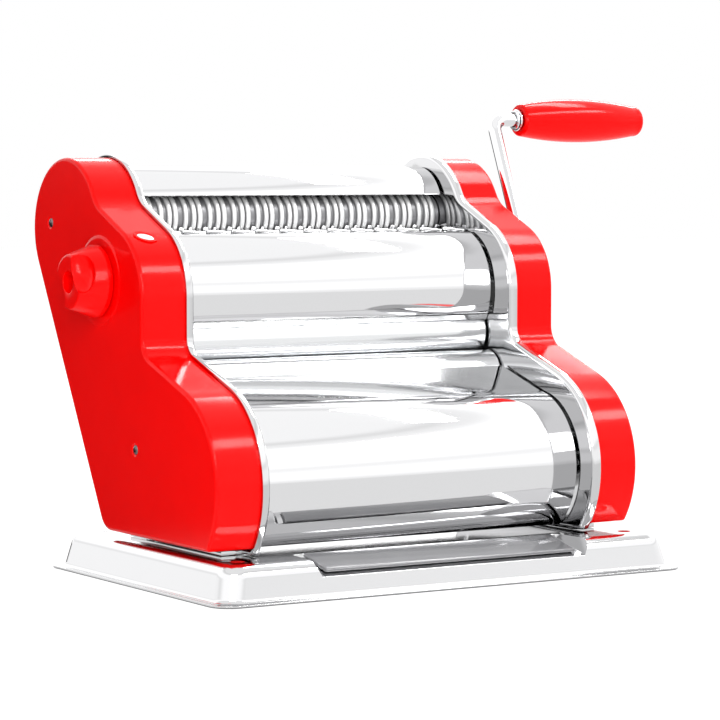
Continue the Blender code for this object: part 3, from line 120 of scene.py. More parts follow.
paper.data.materials.append(paper_look)

# The room round the sweep is white for the camera and soft for the light on the machine. In the metal it is a white
# room in bands of height, with the grey board low down behind the machine on the left.
ROOM_LIGHT = 0.72
DARK_LIGHT = 0.0
DARK_SIDE = Vector((-0.95, 0.35, -0.12)).normalized()
ROOM_BANDS = ((0.50, 1.40), (0.54, 1.72), (0.60, 1.72), (0.645, 1.50), (0.70, 1.95), (0.84, 1.95), (0.885, 1.40), (0.90, 1.22),
              (0.925, 1.50))
world = bpy.data.worlds.new("studio")
bpy.context.scene.world = world
world.use_nodes = True
tree = world.node_tree
tree.nodes.clear()
output = tree.nodes.new("ShaderNodeOutputWorld")
path = add_node(tree, "ShaderNodeLightPath")
place = add_node(tree, "ShaderNodeTexCoord")
axes = add_node(tree, "ShaderNodeSeparateXYZ", links={0: (place, "Generated")})
height = add_node(tree, "ShaderNodeMapRange", {"From Min": -1.0, "From Max": 1.0}, {"Value": (axes, "Z")})
bands = add_node(tree, "ShaderNodeValToRGB", links={0: (height, 0)})
ramp = bands.color_ramp
ramp.interpolation = "EASE"
ramp.elements[0].position, ramp.elements[0].color = 0.0, (1.15, 1.15, 1.15, 1)
ramp.elements[1].position, ramp.elements[1].color = 1.0, (1.5, 1.5, 1.5, 1)
for position, level in ROOM_BANDS:
    ramp.elements.new(position).color = (level, level, level, 1)
towards_board = add_node(tree, "ShaderNodeVectorMath", {"operation": "DOT_PRODUCT", 1: BOARD_SIDE},
                         {0: (place, "Generated")})
board_wide = add_node(tree, "ShaderNodeMapRange", {"From Min": 0.45, "From Max": 0.75},
                      {"Value": (towards_board, "Value")})
board_high = add_node(tree, "ShaderNodeMapRange", {"From Min": 0.06, "From Max": 0.0}, {"Value": (axes, "Z")})
board = add_node(tree, "ShaderNodeMath", {"operation": "MULTIPLY"}, {0: (board_wide, 0), 1: (board_high, 0)})
with_board = add_node(tree, "ShaderNodeMix", {"data_type": "RGBA"}, {"Factor": (board, 0), "A": (bands, 0)})
with_board.inputs["B"].default_value = (GREY_BOARD, GREY_BOARD, GREY_BOARD, 1)
from_dark_side = add_node(tree, "ShaderNodeVectorMath", {"operation": "DOT_PRODUCT", 1: DARK_SIDE},
                          {0: (place, "Generated")})
soft_light = add_node(tree, "ShaderNodeMapRange", {"From Min": -0.2, "From Max": 1.0, "To Min": ROOM_LIGHT,
                                                   "To Max": DARK_LIGHT}, {"Value": (from_dark_side, "Value")})
plain = add_node(tree, "ShaderNodeBackground", {"Color": (1, 1, 1, 1)}, {"Strength": (soft_light, 0)})
white = add_node(tree, "ShaderNodeBackground", {"Color": (1, 1, 1, 1), "Strength": 1.0})
studio = add_node(tree, "ShaderNodeBackground", {"Strength": 1.0}, {"Color": (with_board, "Result")})
reflected = add_node(tree, "ShaderNodeMixShader",
                     links={0: (path, "Is Glossy Ray"), 1: (plain, 0), 2: (studio, 0)})
shown = add_node(tree, "ShaderNodeMixShader", links={0: (path, "Is Camera Ray"), 1: (reflected, 0), 2: (white, 0)})
tree.links.new(shown.outputs[0], output.inputs["Surface"])


def soft_box(name, spot, target, width, height, power):
    """A square lamp that faces a point."""
    bpy.ops.object.light_add(type="AREA", location=spot)
    lamp = bpy.context.object
    lamp.name = name
    lamp.data.shape = "RECTANGLE"
    lamp.data.size, lamp.data.size_y = width, height
    lamp.data.energy = power
    lamp.rotation_euler = (Vector(target) - Vector(spot)).to_track_quat("-Z", "Y").to_euler()
    return lamp


soft_box("strip_box", (0.98, -1.13, 1.44), (-0.05, 0.0, 0.14), 1.30, 0.26, 20.0)
soft_box("ceiling_box", (0.92, 0.25, 1.58), (0.0, 0.03, 0.17), 1.00, 0.22, 11.0)
soft_box("back_box", (1.00, 1.33, 1.11), (0.0, 0.03, 0.20), 1.30, 0.16, 8.0)
soft_box("side_box", (-0.40, -0.42, 0.34), (-0.13, 0.02, 0.13), 0.25, 0.25, 1.9)

# The camera stands low in front of the left corner, as the photographer's did.
CAMERA_PLACE = MIDDLE + Vector((-0.860, -1.3775, 0.2173))
CAMERA_TURN = radians(31.88)
CAMERA_DIP = radians(3.64)
bpy.ops.object.camera_add(location=CAMERA_PLACE, rotation=(pi / 2 - CAMERA_DIP, 0, -CAMERA_TURN))
camera = bpy.context.object
camera.data.lens = 149.45
camera.data.sensor_width = 36.0
bpy.context.scene.camera = camera
bpy.context.scene.view_settings.view_transform = "Standard"


# The side covers are the red wavy shells at both ends, moulded in glossy ABS. Their front edge swings out round
# the guard below, the middle guard and the hood, and each sits inside the rim of its steel plate.
def polar(centre, radius, angle):
    """Point at an angle and a distance from a centre."""
    return (centre[0] + radius * cos(angle), centre[1] + radius * sin(angle))


def arc(centre, radius, start, end, steps):
    """Points along an arc, both ends included."""
    return [polar(centre, radius, start + (end - start) * step / steps) for step in range(steps + 1)]


def round_corner(before, corner, after, radius, steps):
    """Arc that replaces a corner between two straight lines."""
    to_before = Vector(before) - Vector(corner)
    to_after = Vector(after) - Vector(corner)
    half = to_before.angle(to_after) / 2
    centre = Vector(corner) + (to_before.normalized() + to_after.normalized()).normalized() * (radius / sin(half))
    touch = radius / tan(half)
    first = Vector(corner) + to_before.normalized() * touch - centre
    last = Vector(corner) + to_after.normalized() * touch - centre
    start = atan2(first.y, first.x)
    sweep = (atan2(last.y, last.x) - start + pi) % (2 * pi) - pi
    return arc(tuple(centre), radius, start, start + sweep, steps)


def cross(point, angle, other, other_angle):
    """Where two lines meet, each given by a point and an angle."""
    d1 = (cos(angle), sin(angle))
    d2 = (cos(other_angle), sin(other_angle))
    wide = d1[0] * d2[1] - d1[1] * d2[0]
    along = ((other[0] - point[0]) * d2[1] - (other[1] - point[1]) * d2[0]) / wide
    return (point[0] + along * d1[0], point[1] + along * d1[1])


def offset_line(points, distance, closed=False):
    """The same line moved sideways, to its left for a positive distance."""
    result = []
    count = len(points)
    for index, point in enumerate(points):
        before = points[index - 1] if index or closed else None
        after = points[(index + 1) % count] if index < count - 1 or closed else None
        here = Vector(point)
        ways = []
        if before is not None:
            ways.append((here - Vector(before)).normalized())
        if after is not None:
            ways.append((Vector(after) - here).normalized())
        normals = [Vector((-way.y, way.x)) for way in ways]
        side = sum(normals, Vector((0, 0))).normalized()
        result.append(tuple(here + side * distance / max(side.dot(normals[0]), 0.3)))
    return result


COVER_BOTTOM_Z = 0.024
LOW_LOBE = (-0.018, 0.055)
LOW_LOBE_R = 0.0525
STEP_ANGLE = radians(19.8)
MID_FRONT_Y = 0.0095
MID_LOBE_R = 0.0381
MID_LOBE_Z = 0.150
SHOULDER_ANGLE = radians(24.7)
TOP_LOBE = (0.0995, 0.185)
TOP_LOBE_R = 0.039
TOP_FRONT_ANGLE = radians(148.0)
BACK_FOOT_Y = 0.0547
BACK_FOOT_R = 0.012
LOW_VALLEY_R = 0.012
HIGH_VALLEY_R = 0.018
TOE_R = 0.002


def wavy_outline(bottom_z):
    """The cover's outline in (y, z), from the toe over the three lobes and down the leaning back."""
    toe_drop = LOW_LOBE[1] - bottom_z
    toe = (LOW_LOBE[0] - sqrt(LOW_LOBE_R ** 2 - toe_drop ** 2), bottom_z)
    toe_angle = pi + atan2(toe_drop, LOW_LOBE[0] - toe[0])
    step_touch = polar(LOW_LOBE, LOW_LOBE_R, pi / 2 + STEP_ANGLE)
    front_line = (MID_FRONT_Y, MID_LOBE_Z)
    valley = cross(step_touch, STEP_ANGLE, front_line, pi / 2)
    mid_centre = (MID_FRONT_Y + MID_LOBE_R, MID_LOBE_Z)
    shoulder_touch = polar(mid_centre, MID_LOBE_R, pi / 2 + SHOULDER_ANGLE)
    top_touch = polar(TOP_LOBE, TOP_LOBE_R, TOP_FRONT_ANGLE)
    high_valley = cross(shoulder_touch, SHOULDER_ANGLE, top_touch, TOP_FRONT_ANGLE - pi / 2)
    foot = (BACK_FOOT_Y, bottom_z)
    span = hypot(TOP_LOBE[0] - foot[0], TOP_LOBE[1] - foot[1])
    back_angle = atan2(TOP_LOBE[1] - foot[1], TOP_LOBE[0] - foot[0]) - acos(
        sqrt(span ** 2 - TOP_LOBE_R ** 2) / span)
    back_touch = polar(TOP_LOBE, TOP_LOBE_R, back_angle - pi / 2)
    points = round_corner(foot, toe, polar(toe, TOE_R * 3, toe_angle - pi / 2), TOE_R, 4)
    points += arc(LOW_LOBE, LOW_LOBE_R, toe_angle - radians(3), pi / 2 + STEP_ANGLE, 44)
    points += round_corner(step_touch, valley, front_line, LOW_VALLEY_R, 14)
    points += arc(mid_centre, MID_LOBE_R, pi, pi / 2 + SHOULDER_ANGLE, 24)
    points += round_corner(shoulder_touch, high_valley, top_touch, HIGH_VALLEY_R, 12)
    points += arc(TOP_LOBE, TOP_LOBE_R, TOP_FRONT_ANGLE, back_angle - pi / 2, 46)
    points += round_corner(back_touch, foot, toe, BACK_FOOT_R, 10)
    return points


COVER_OUTER_X = 0.132
COVER_OPEN_X = 0.1028
COVER_WALL = 0.0020
COVER_ROUND = 0.0045
BOSS_R = 0.0245
BOSS_HEIGHT = 0.0005
ROLLER_R = 0.01375
LOWER_AXIS = (0.0286, 0.1015)
PAIR_ANGLE = radians(57.8)
UPPER_AXIS = polar(LOWER_AXIS, 2 * ROLLER_R + 0.0005, PAIR_ANGLE)
KNOB_AXIS = polar(polar(UPPER_AXIS, 0.0351, PAIR_ANGLE), -0.00525, PAIR_ANGLE - pi / 2)
CUTTER_AXIS = (0.092, 0.191)
CUTTER_MEAN_R = 0.0126
REAR_CUTTER_AXIS = polar(CUTTER_AXIS, 2 * CUTTER_MEAN_R + 0.0002, radians(-6.5))
LOW_POST = (0.0179, 0.0699)


def wire(name, points, closed=True):
    """A ring or chain with one vertex at each point, from a circle primitive."""
    bpy.ops.object.select_all(action="DESELECT")
    bpy.ops.mesh.primitive_circle_add(vertices=len(points), radius=1)
    piece = bpy.context.object
    piece.name = name
    for vertex, point in zip(piece.data.vertices, points):
        vertex.co = point
    if not closed:
        last = len(points) - 1
        bpy.ops.object.mode_set(mode="EDIT")
        bpy.ops.mesh.select_all(action="DESELECT")
        bpy.ops.object.mode_set(mode="OBJECT")
        for edge in piece.data.edges:
            edge.select = set(edge.vertices) == {0, last}
        bpy.ops.object.mode_set(mode="EDIT")
        bpy.ops.mesh.select_mode(type="EDGE")
        bpy.ops.mesh.delete(type="EDGE_FACE")
        bpy.ops.object.mode_set(mode="OBJECT")
    return piece


def edit_all(piece):
    """Into edit mode with everything selected."""
    bpy.ops.object.select_all(action="DESELECT")
    piece.select_set(True)
    bpy.context.view_layer.objects.active = piece
    bpy.ops.object.mode_set(mode="EDIT")
    bpy.ops.mesh.select_mode(type="VERT")
    bpy.ops.mesh.select_all(action="SELECT")


def tidy_normals():
    """Merges doubles, turns all faces outwards, and leaves edit mode."""
    bpy.ops.mesh.select_all(action="SELECT")
    bpy.ops.mesh.remove_doubles(threshold=0.000002)
    bpy.ops.mesh.normals_make_consistent(inside=False)
    bpy.ops.object.mode_set(mode="OBJECT")


def use_modifier(piece, kind, **settings):
    """Adds a modifier and applies it."""
    modifier = piece.modifiers.new(kind.lower(), kind)
    for key, value in settings.items():
        setattr(modifier, key, value)
    bpy.context.view_layer.objects.active = piece
    bpy.ops.object.modifier_apply(modifier=modifier.name)


def turned(name, profile, centre, steps):
    """A solid turned about a line along X through a centre: the profile is (x, radius)."""
    piece = wire(name, [(x, centre[0] + radius, centre[1]) for x, radius in profile], closed=False)
    edit_all(piece)
    bpy.ops.mesh.spin(steps=steps, angle=2 * pi, center=(0, *centre), axis=(1, 0, 0))
    tidy_normals()
    return piece


def cut(piece, tool, operation="DIFFERENCE"):
    """Cuts a tool's shape out of a piece, or adds it, and removes the tool."""
    use_modifier(piece, "BOOLEAN", object=tool, operation=operation, solver="EXACT")
    bpy.data.objects.remove(tool, do_unlink=True)


def mirror_x(piece):
    """The same piece at the other end of the machine, with its faces outwards again."""
    piece.data.transform(Matrix.Scale(-1, 4, (1, 0, 0)))
    piece.data.flip_normals()


def finish_piece(piece, look, body, slot, *nodes, smooth=32):
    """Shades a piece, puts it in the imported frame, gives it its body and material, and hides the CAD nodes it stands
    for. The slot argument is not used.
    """
    bpy.ops.object.select_all(action="DESELECT")
    piece.select_set(True)
    bpy.context.view_layer.objects.active = piece
    bpy.ops.object.transform_apply(location=True, rotation=True, scale=True)
    piece.data.transform(Matrix.Translation(MIDDLE))
    if smooth:
        bpy.ops.object.shade_smooth_by_angle(angle=radians(smooth))
    piece.data.materials.clear()
    piece.data.materials.append(look)
    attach(piece, body)
    if nodes:
        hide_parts(*nodes)


def even_shading(piece, angle):
    """Smooth shading that leaves broad flat faces flat."""
    bpy.ops.object.select_all(action="DESELECT")
    piece.select_set(True)
    bpy.context.view_layer.objects.active = piece
    bpy.ops.object.shade_smooth_by_angle(angle=radians(angle))
    use_modifier(piece, "WEIGHTED_NORMAL", mode="FACE_AREA", weight=60, keep_sharp=True)


def dish(name, outline, face_x, open_x, wall, rounding, steps):
    """A flat face with a rounded edge and a wall that runs to open_x, thickened inwards."""
    piece = wire(name, [(face_x, y, z) for y, z in outline])
    edit_all(piece)
    bpy.ops.mesh.edge_face_add()
    bpy.ops.mesh.select_mode(type="EDGE")
    bpy.ops.mesh.extrude_region_move(TRANSFORM_OT_translate={"value": (open_x - face_x, 0, 0)})
    bpy.ops.mesh.select_all(action="DESELECT")
    bpy.ops.object.mode_set(mode="OBJECT")
    for edge in piece.data.edges:
        edge.select = all(abs(piece.data.vertices[v].co.x - face_x) < 1e-6 for v in edge.vertices)
    for face in piece.data.polygons:
        face.select = all(abs(piece.data.vertices[v].co.x - open_x) < 1e-6 for v in face.vertices)
    if any(face.select for face in piece.data.polygons):
        for edge in piece.data.edges:
            edge.select = False
        bpy.ops.object.mode_set(mode="EDIT")
        bpy.ops.mesh.select_mode(type="FACE")
        bpy.ops.mesh.delete(type="ONLY_FACE")
        bpy.ops.object.mode_set(mode="OBJECT")
        for edge in piece.data.edges:
            edge.select = all(abs(piece.data.vertices[v].co.x - face_x) < 1e-6 for v in edge.vertices)
    bpy.ops.object.mode_set(mode="EDIT")
    bpy.ops.mesh.select_mode(type="EDGE")
    bpy.ops.mesh.bevel(offset=rounding, segments=steps, profile=0.5, affect="EDGES", clamp_overlap=True)
    tidy_normals()
    sense = 1 if face_x > open_x else -1
    flat = max(piece.data.polygons, key=lambda face: face.area)
    if flat.normal.x * sense < 0:
        piece.data.flip_normals()
    use_modifier(piece, "SOLIDIFY", thickness=wall, offset=-1, use_even_offset=True)
    return piece


def red_abs():
    """Glossy moulded ABS: a deep red with a wet looking skin, and the faint waviness of a moulded wall."""
    made, tree, output = empty_material("red_moulded_abs")
    shader = add_node(tree, "ShaderNodeBsdfPrincipled",
                      {"Base Color": linear("#F80202"), "Roughness": 0.12, "IOR": 1.5, "Specular IOR Level": 0.11})
    place = add_node(tree, "ShaderNodeTexCoord")
    wave = add_node(tree, "ShaderNodeTexNoise", {"Scale": 55.0, "Detail": 2.0}, {"Vector": (place, "Object")})
    grain = add_node(tree, "ShaderNodeTexNoise", {"Scale": 900.0, "Detail": 2.0}, {"Vector": (place, "Object")})
    shade = add_node(tree, "ShaderNodeMapRange", {"From Min": 0.3, "From Max": 0.7, "To Min": 0.10, "To Max": 0.17},
                     {"Value": (grain, 0)})
    tint = add_node(tree, "ShaderNodeMix", {"data_type": "RGBA"}, {"Factor": (wave, 0)})
    tint.inputs["A"].default_value = linear("#F40101")
    tint.inputs["B"].default_value = linear("#FB0303")
    bump = add_node(tree, "ShaderNodeBump", {"Strength": 0.05, "Distance": 0.0008}, {"Height": (wave, 0)})
    tree.links.new(tint.outputs["Result"], shader.inputs["Base Color"])
    tree.links.new(shade.outputs[0], shader.inputs["Roughness"])
    tree.links.new(bump.outputs[0], shader.inputs["Normal"])
    tree.links.new(shader.outputs[0], output.inputs["Surface"])
    return made


red_plastic = red_abs()
cover_line = wavy_outline(COVER_BOTTOM_Z)
SCREW_SEAT_R = 0.0036
SCREW_SEAT_DEPTH = 0.0012
left_cover_screws = (REAR_CUTTER_AXIS, LOW_POST)
IDLER_AXIS = (0.070492, 0.141032)
right_cover_screws = (IDLER_AXIS, LOW_POST)


def disc(name, centre, radius, low_x, high_x, steps=64):
    """A plain round bar along X."""
    return turned(name, [(high_x, 0), (high_x, radius), (low_x, radius), (low_x, 0)], centre, steps)


def side_cover(name, boss_centre, hole_radius, screw_seats):
    cover = dish(name, cover_line, COVER_OUTER_X, COVER_OPEN_X, COVER_WALL, COVER_ROUND, 8)
    boss_profile = [(COVER_OUTER_X + BOSS_HEIGHT, 0), (COVER_OUTER_X + BOSS_HEIGHT, BOSS_R - 0.0018),
                    (COVER_OUTER_X + BOSS_HEIGHT * 0.88, BOSS_R - 0.0010),
                    (COVER_OUTER_X + BOSS_HEIGHT * 0.5, BOSS_R - 0.0003), (COVER_OUTER_X, BOSS_R + 0.0004),
                    (COVER_OUTER_X - COVER_WALL / 2, BOSS_R + 0.0004), (COVER_OUTER_X - COVER_WALL / 2, 0)]
    cut(cover, turned("boss", boss_profile, boss_centre, 96), "UNION")
    cut(cover, disc("bore", boss_centre, hole_radius, COVER_OUTER_X - 0.006, COVER_OUTER_X + 0.004))
    for seat in screw_seats:
        well = turned("seat", [(COVER_OUTER_X + 0.002, 0), (COVER_OUTER_X + 0.002, SCREW_SEAT_R),
                               (COVER_OUTER_X, SCREW_SEAT_R), (COVER_OUTER_X - SCREW_SEAT_DEPTH, SCREW_SEAT_R * 0.5),
                               (COVER_OUTER_X - 0.004, SCREW_SEAT_R * 0.5), (COVER_OUTER_X - 0.004, 0)], seat, 40)
        cut(cover, well)
    return cover


cover_left = side_cover("cover_left", KNOB_AXIS, 0.0053, left_cover_screws)
mirror_x(cover_left)
WINDOW_X = 0.1205
WINDOW_ANGLE = radians(123.5)
WINDOW_TWIST = radians(-22)
WINDOW_HALF_WIDTH = 0.0050
WINDOW_HALF_HEIGHT = 0.0031
shoulder_centre = (MID_FRONT_Y + MID_LOBE_R, MID_LOBE_Z)


def window_plug(name, half_width, half_height, low, high):
    """An oval bar that stands on the left cover's shoulder, between two distances from the lobe's axis."""
    bpy.ops.object.select_all(action="DESELECT")
    bpy.ops.mesh.primitive_cylinder_add(vertices=64, radius=1, depth=high - low, location=(0, 0, (low + high) / 2))
    plug = bpy.context.object
    plug.name = name
    plug.scale = (half_width, half_height, 1)
    bpy.ops.object.transform_apply(location=True, rotation=False, scale=True)
    plug.data.transform(Matrix.Rotation(WINDOW_TWIST, 4, "Z"))
    plug.data.transform(Matrix.Rotation(WINDOW_ANGLE - pi / 2, 4, "X"))
    plug.data.transform(Matrix.Translation((-WINDOW_X, *shoulder_centre)))
    return plug


cut(cover_left, window_plug("pad", WINDOW_HALF_WIDTH + 0.0016, WINDOW_HALF_HEIGHT + 0.0014,
                            MID_LOBE_R - 0.0015, MID_LOBE_R + 0.0006), "UNION")
cut(cover_left, window_plug("window", WINDOW_HALF_WIDTH, WINDOW_HALF_HEIGHT, MID_LOBE_R - 0.006, MID_LOBE_R + 0.004))
even_shading(cover_left, 24)
finish_piece(cover_left, red_plastic, "frame", "red_plastic", "side_cover_left", smooth=None)
cover_right = side_cover("cover_right", LOWER_AXIS, 0.0054, right_cover_screws)
even_shading(cover_right, 24)
finish_piece(cover_right, red_plastic, "frame", "red_plastic", "side_cover_right", smooth=None)


# The side plates are polished stainless sheet. Each has its edge rolled outwards into a rim, in which the red
# cover sits, and a bottom flange that two bolts hold to the tray.
PLATE_INNER_X = 0.101
PLATE_WALL = 0.0015
PLATE_RIM = 0.005
RIM_FIT = 0.0004
TRAY_TOP_Z = 0.020
FLANGE_THICK = 0.0020
FLANGE_REACH = 0.017
FLANGE_HALF_DEPTH = 0.050
GUARD_STEEL = "#CDCDCE"
# Painted shade: the plates and tray take a darker copy of the guards' polished steel, so their reflections come out
# dimmer.
SHADED_DARKER_STEEL = "#BDBDBE"


def polished_steel(name, hex_colour, roughness, streak_axis):
    """Stainless sheet, polished to a mirror: fine rolling streaks along one axis only show in the gloss."""
    made, tree, output = empty_material(name)
    shader = add_node(tree, "ShaderNodeBsdfPrincipled",
                      {"Base Color": linear(hex_colour), "Metallic": 1.0, "Roughness": roughness})
    place = add_node(tree, "ShaderNodeTexCoord")
    fine, long = 1400.0, 14.0
    scale = tuple(long if axis == streak_axis else fine for axis in "XYZ")
    stretch = add_node(tree, "ShaderNodeMapping", {"Scale": scale}, {"Vector": (place, "Object")})
    streaks = add_node(tree, "ShaderNodeTexNoise", {"Scale": 1.0, "Detail": 2.0}, {"Vector": (stretch, 0)})
    cloud = add_node(tree, "ShaderNodeTexNoise", {"Scale": 35.0, "Detail": 3.0}, {"Vector": (place, "Object")})
    mixed = add_node(tree, "ShaderNodeMath", {"operation": "ADD"}, {0: (streaks, 0), 1: (cloud, 0)})
    rough = add_node(tree, "ShaderNodeMapRange",
                     {"From Min": 0.7, "From Max": 1.3, "To Min": roughness * 0.6, "To Max": roughness * 1.5},
                     {"Value": (mixed, 0)})
    bump = add_node(tree, "ShaderNodeBump", {"Strength": 0.03, "Distance": 0.0001}, {"Height": (streaks, 0)})
    tree.links.new(rough.outputs[0], shader.inputs["Roughness"])
    tree.links.new(bump.outputs[0], shader.inputs["Normal"])
    tree.links.new(shader.outputs[0], output.inputs["Surface"])
    return made


sheet_steel = polished_steel("polished_stainless_sheet", GUARD_STEEL, 0.045, "X")
plate_steel = polished_steel("polished_stainless_plate_shaded_darker", SHADED_DARKER_STEEL, 0.05, "Z")
tray_steel = polished_steel("polished_pressed_stainless_shaded_darker", SHADED_DARKER_STEEL, 0.06, "X")
flange_bottom = TRAY_TOP_Z + 0.0003
plate_line = offset_line(wavy_outline(flange_bottom + 0.0003 + RIM_FIT + PLATE_WALL), RIM_FIT + PLATE_WALL,
                         closed=True)


def box(name, low, high):
    """A plain block between two corners."""
    bpy.ops.object.select_all(action="DESELECT")
    size = [b - a for a, b in zip(low, high)]
    middle = [(a + b) / 2 for a, b in zip(low, high)]
    bpy.ops.mesh.primitive_cube_add(size=1, location=middle, scale=size)
    block = bpy.context.object
    block.name = name
    bpy.ops.object.transform_apply(location=True, rotation=False, scale=True)
    return block


PLATE_HOLES = ((LOWER_AXIS, 0.0089), (polar(UPPER_AXIS, 0.0015, PAIR_ANGLE), 0.0071), (KNOB_AXIS, 0.0053),
               (CUTTER_AXIS, 0.0069), (REAR_CUTTER_AXIS, 0.0069))


def side_plate(name):
    plate = dish(name, plate_line, PLATE_INNER_X, PLATE_INNER_X + PLATE_RIM, PLATE_WALL, PLATE_WALL * 1.6, 6)
    cut(plate, box("flange", (PLATE_INNER_X + PLATE_WALL * 2, -FLANGE_HALF_DEPTH, flange_bottom),
                   (PLATE_INNER_X + FLANGE_REACH, FLANGE_HALF_DEPTH, flange_bottom + FLANGE_THICK)), "UNION")
    for centre, radius in PLATE_HOLES:
        cut(plate, disc("hole", centre, radius, PLATE_INNER_X - 0.002, PLATE_INNER_X + 0.0032, 40))
    use_modifier(plate, "BEVEL", width=0.0006, segments=3, limit_method="ANGLE", angle_limit=radians(60))
    return plate


plate_right = side_plate("plate_right")
finish_piece(plate_right, plate_steel, "frame", "polished_steel", "side_plate_right", smooth=28)
plate_left = side_plate("plate_left")
mirror_x(plate_left)
finish_piece(plate_left, plate_steel, "frame", "polished_steel", "side_plate_left", smooth=28)

# The base tray is pressed from polished stainless: a narrow flange round the foot, leaning walls with soft edges,
# and a sloping recess in the front where the name plate lies.
TRAY_LENGTH = 0.291
TRAY_DEPTH = 0.197
TRAY_FLANGE = 0.0042
TRAY_DRAFT = 0.0034
TRAY_LEAN = radians(13.0)
TRAY_WALL = 0.0012
TRAY_CORNER = 0.012
TRAY_LIFT = 0.0004
RECESS_LENGTH = 0.164
RECESS_SLOPE = radians(14.0)
RECESS_BACK_Y = -0.062
RECESS_DROP = 0.0012
DIMPLE_X = 0.1215
DIMPLE_Y = 0.0730
DIMPLE_BALL_R = 0.010
DIMPLE_DEPTH = 0.0009


def rounded_rectangle(half_x, half_y, radius, steps):
    points = []
    for side_x, side_y, start in ((1, 1, 0), (-1, 1, 90), (-1, -1, 180), (1, -1, 270)):
        centre = (side_x * (half_x - radius), side_y * (half_y - radius))
        points += arc(centre, radius, radians(start), radians(start + 90), steps)
    return points


def tray_skin():
    """A rounded plate is pulled up and drawn in, ring by ring: flange, root fillet, wall, soft edge and flat top."""
    lip = TRAY_LIFT + TRAY_WALL
    root, edge = 0.0028, 0.0080
    steps = 9
    skin = wire("tray_skin", [(x, y, TRAY_LIFT + TRAY_WALL * 0.4) for x, y in
                              rounded_rectangle(TRAY_LENGTH / 2, TRAY_DEPTH / 2, TRAY_CORNER, 16)])
    turn = (pi / 2 - TRAY_LEAN) / steps
    quarter = [(turn * i, turn * (i + 1)) for i in range(steps)]
    wall_rise = TRAY_TOP_Z - lip - root * (1 - sin(TRAY_LEAN)) - edge * (1 - sin(TRAY_LEAN))
    drawn = [(TRAY_FLANGE - root * 0.5, 0)]
    drawn += [(root * (sin(b) - sin(a)), root * (cos(a) - cos(b))) for a, b in quarter]
    drawn += [(wall_rise * tan(TRAY_LEAN), wall_rise)]
    edit_all(skin)
    bpy.ops.mesh.edge_face_add()
    bpy.ops.mesh.select_mode(type="FACE")
    bpy.ops.mesh.extrude_region_move(TRANSFORM_OT_translate={"value": (0, 0, TRAY_WALL * 0.6)})
    half_x, half_y = TRAY_LENGTH / 2, TRAY_DEPTH / 2
    for inwards, upwards in drawn:
        bpy.ops.mesh.extrude_region_move(TRANSFORM_OT_translate={"value": (0, 0, upwards)})
        scale = (1 - inwards / half_x, 1 - inwards / half_y, 1)
        bpy.ops.transform.resize(value=scale, center_override=(0, 0, lip))
        half_x, half_y = half_x - inwards, half_y - inwards
    for a, b in [(TRAY_LEAN + a, TRAY_LEAN + b) for a, b in quarter]:
        bpy.ops.mesh.inset(thickness=edge * (cos(a) - cos(b)), depth=edge * (sin(b) - sin(a)), use_even_offset=True)
    tidy_normals()
    return skin


tray = tray_skin()
wedge_rise = 0.006
front_y = -TRAY_DEPTH / 2 - 0.004
back_z = TRAY_TOP_Z - RECESS_DROP
front_z = back_z - tan(RECESS_SLOPE) * (RECESS_BACK_Y - front_y)
wedge = wire("wedge", [(-RECESS_LENGTH / 2, y, z) for y, z in (
    (RECESS_BACK_Y, back_z + wedge_rise), (front_y, back_z + wedge_rise), (front_y, front_z),
    (RECESS_BACK_Y, back_z))])
edit_all(wedge)
bpy.ops.mesh.edge_face_add()
bpy.ops.mesh.select_mode(type="FACE")
bpy.ops.mesh.extrude_region_move(TRANSFORM_OT_translate={"value": (RECESS_LENGTH, 0, 0)})
tidy_normals()
for vertex in wedge.data.vertices:
    if vertex.co.z > back_z + wedge_rise / 2:
        vertex.co.x += 0.0085 if vertex.co.x > 0 else -0.0085
use_modifier(wedge, "BEVEL", width=0.0035, segments=5, limit_method="ANGLE", angle_limit=radians(60))
cut(tray, wedge)
for side_x in (-1, 1):
    for side_y in (-1, 1):
        bpy.ops.object.select_all(action="DESELECT")
        spot = (side_x * DIMPLE_X, side_y * DIMPLE_Y, TRAY_TOP_Z + DIMPLE_BALL_R - DIMPLE_DEPTH)
        bpy.ops.mesh.primitive_uv_sphere_add(segments=96, ring_count=192, radius=DIMPLE_BALL_R, location=spot)
        cut(tray, bpy.context.object)
bpy.ops.object.select_all(action="DESELECT")
for face in tray.data.polygons:
    face.select = face.normal.z < -0.9
bpy.context.view_layer.objects.active = tray
bpy.ops.object.mode_set(mode="EDIT")
bpy.ops.mesh.select_mode(type="FACE")
bpy.ops.mesh.delete(type="FACE")
bpy.ops.object.mode_set(mode="OBJECT")
use_modifier(tray, "BEVEL", width=0.0010, segments=4, limit_method="ANGLE", angle_limit=radians(35))
use_modifier(tray, "SOLIDIFY", thickness=TRAY_WALL, offset=-1, use_even_offset=True)
even_shading(tray, 30)
finish_piece(tray, tray_steel, "frame", "polished_steel", "base_tray", smooth=None)

# A smoked clear plate lies in the recess, left bare, with a grey bevel round its edge.
INLAY_MARGIN = 0.004
INLAY_THICK = 0.0022
floor_run = (TRAY_DEPTH / 2 - TRAY_FLANGE - TRAY_DRAFT + RECESS_BACK_Y) / cos(RECESS_SLOPE)
inlay = box("name_plate", (-RECESS_LENGTH / 2 + INLAY_MARGIN, -floor_run + INLAY_MARGIN, 0.0003),
            (RECESS_LENGTH / 2 - INLAY_MARGIN, -INLAY_MARGIN / 2, 0.0003 + INLAY_THICK))
use_modifier(inlay, "BEVEL", width=0.0012, segments=4, limit_method="ANGLE", angle_limit=radians(60))
inlay.data.transform(Matrix.Translation((0, RECESS_BACK_Y, TRAY_TOP_Z - RECESS_DROP))
                     @ Matrix.Rotation(RECESS_SLOPE, 4, "X"))
smoke, tree, output = empty_material("smoked_acrylic")
shader = add_node(tree, "ShaderNodeBsdfPrincipled",
                  {"Base Color": linear("#6E6E70"), "Roughness": 0.12, "IOR": 1.49, "Coat Weight": 0.3})
place = add_node(tree, "ShaderNodeTexCoord")
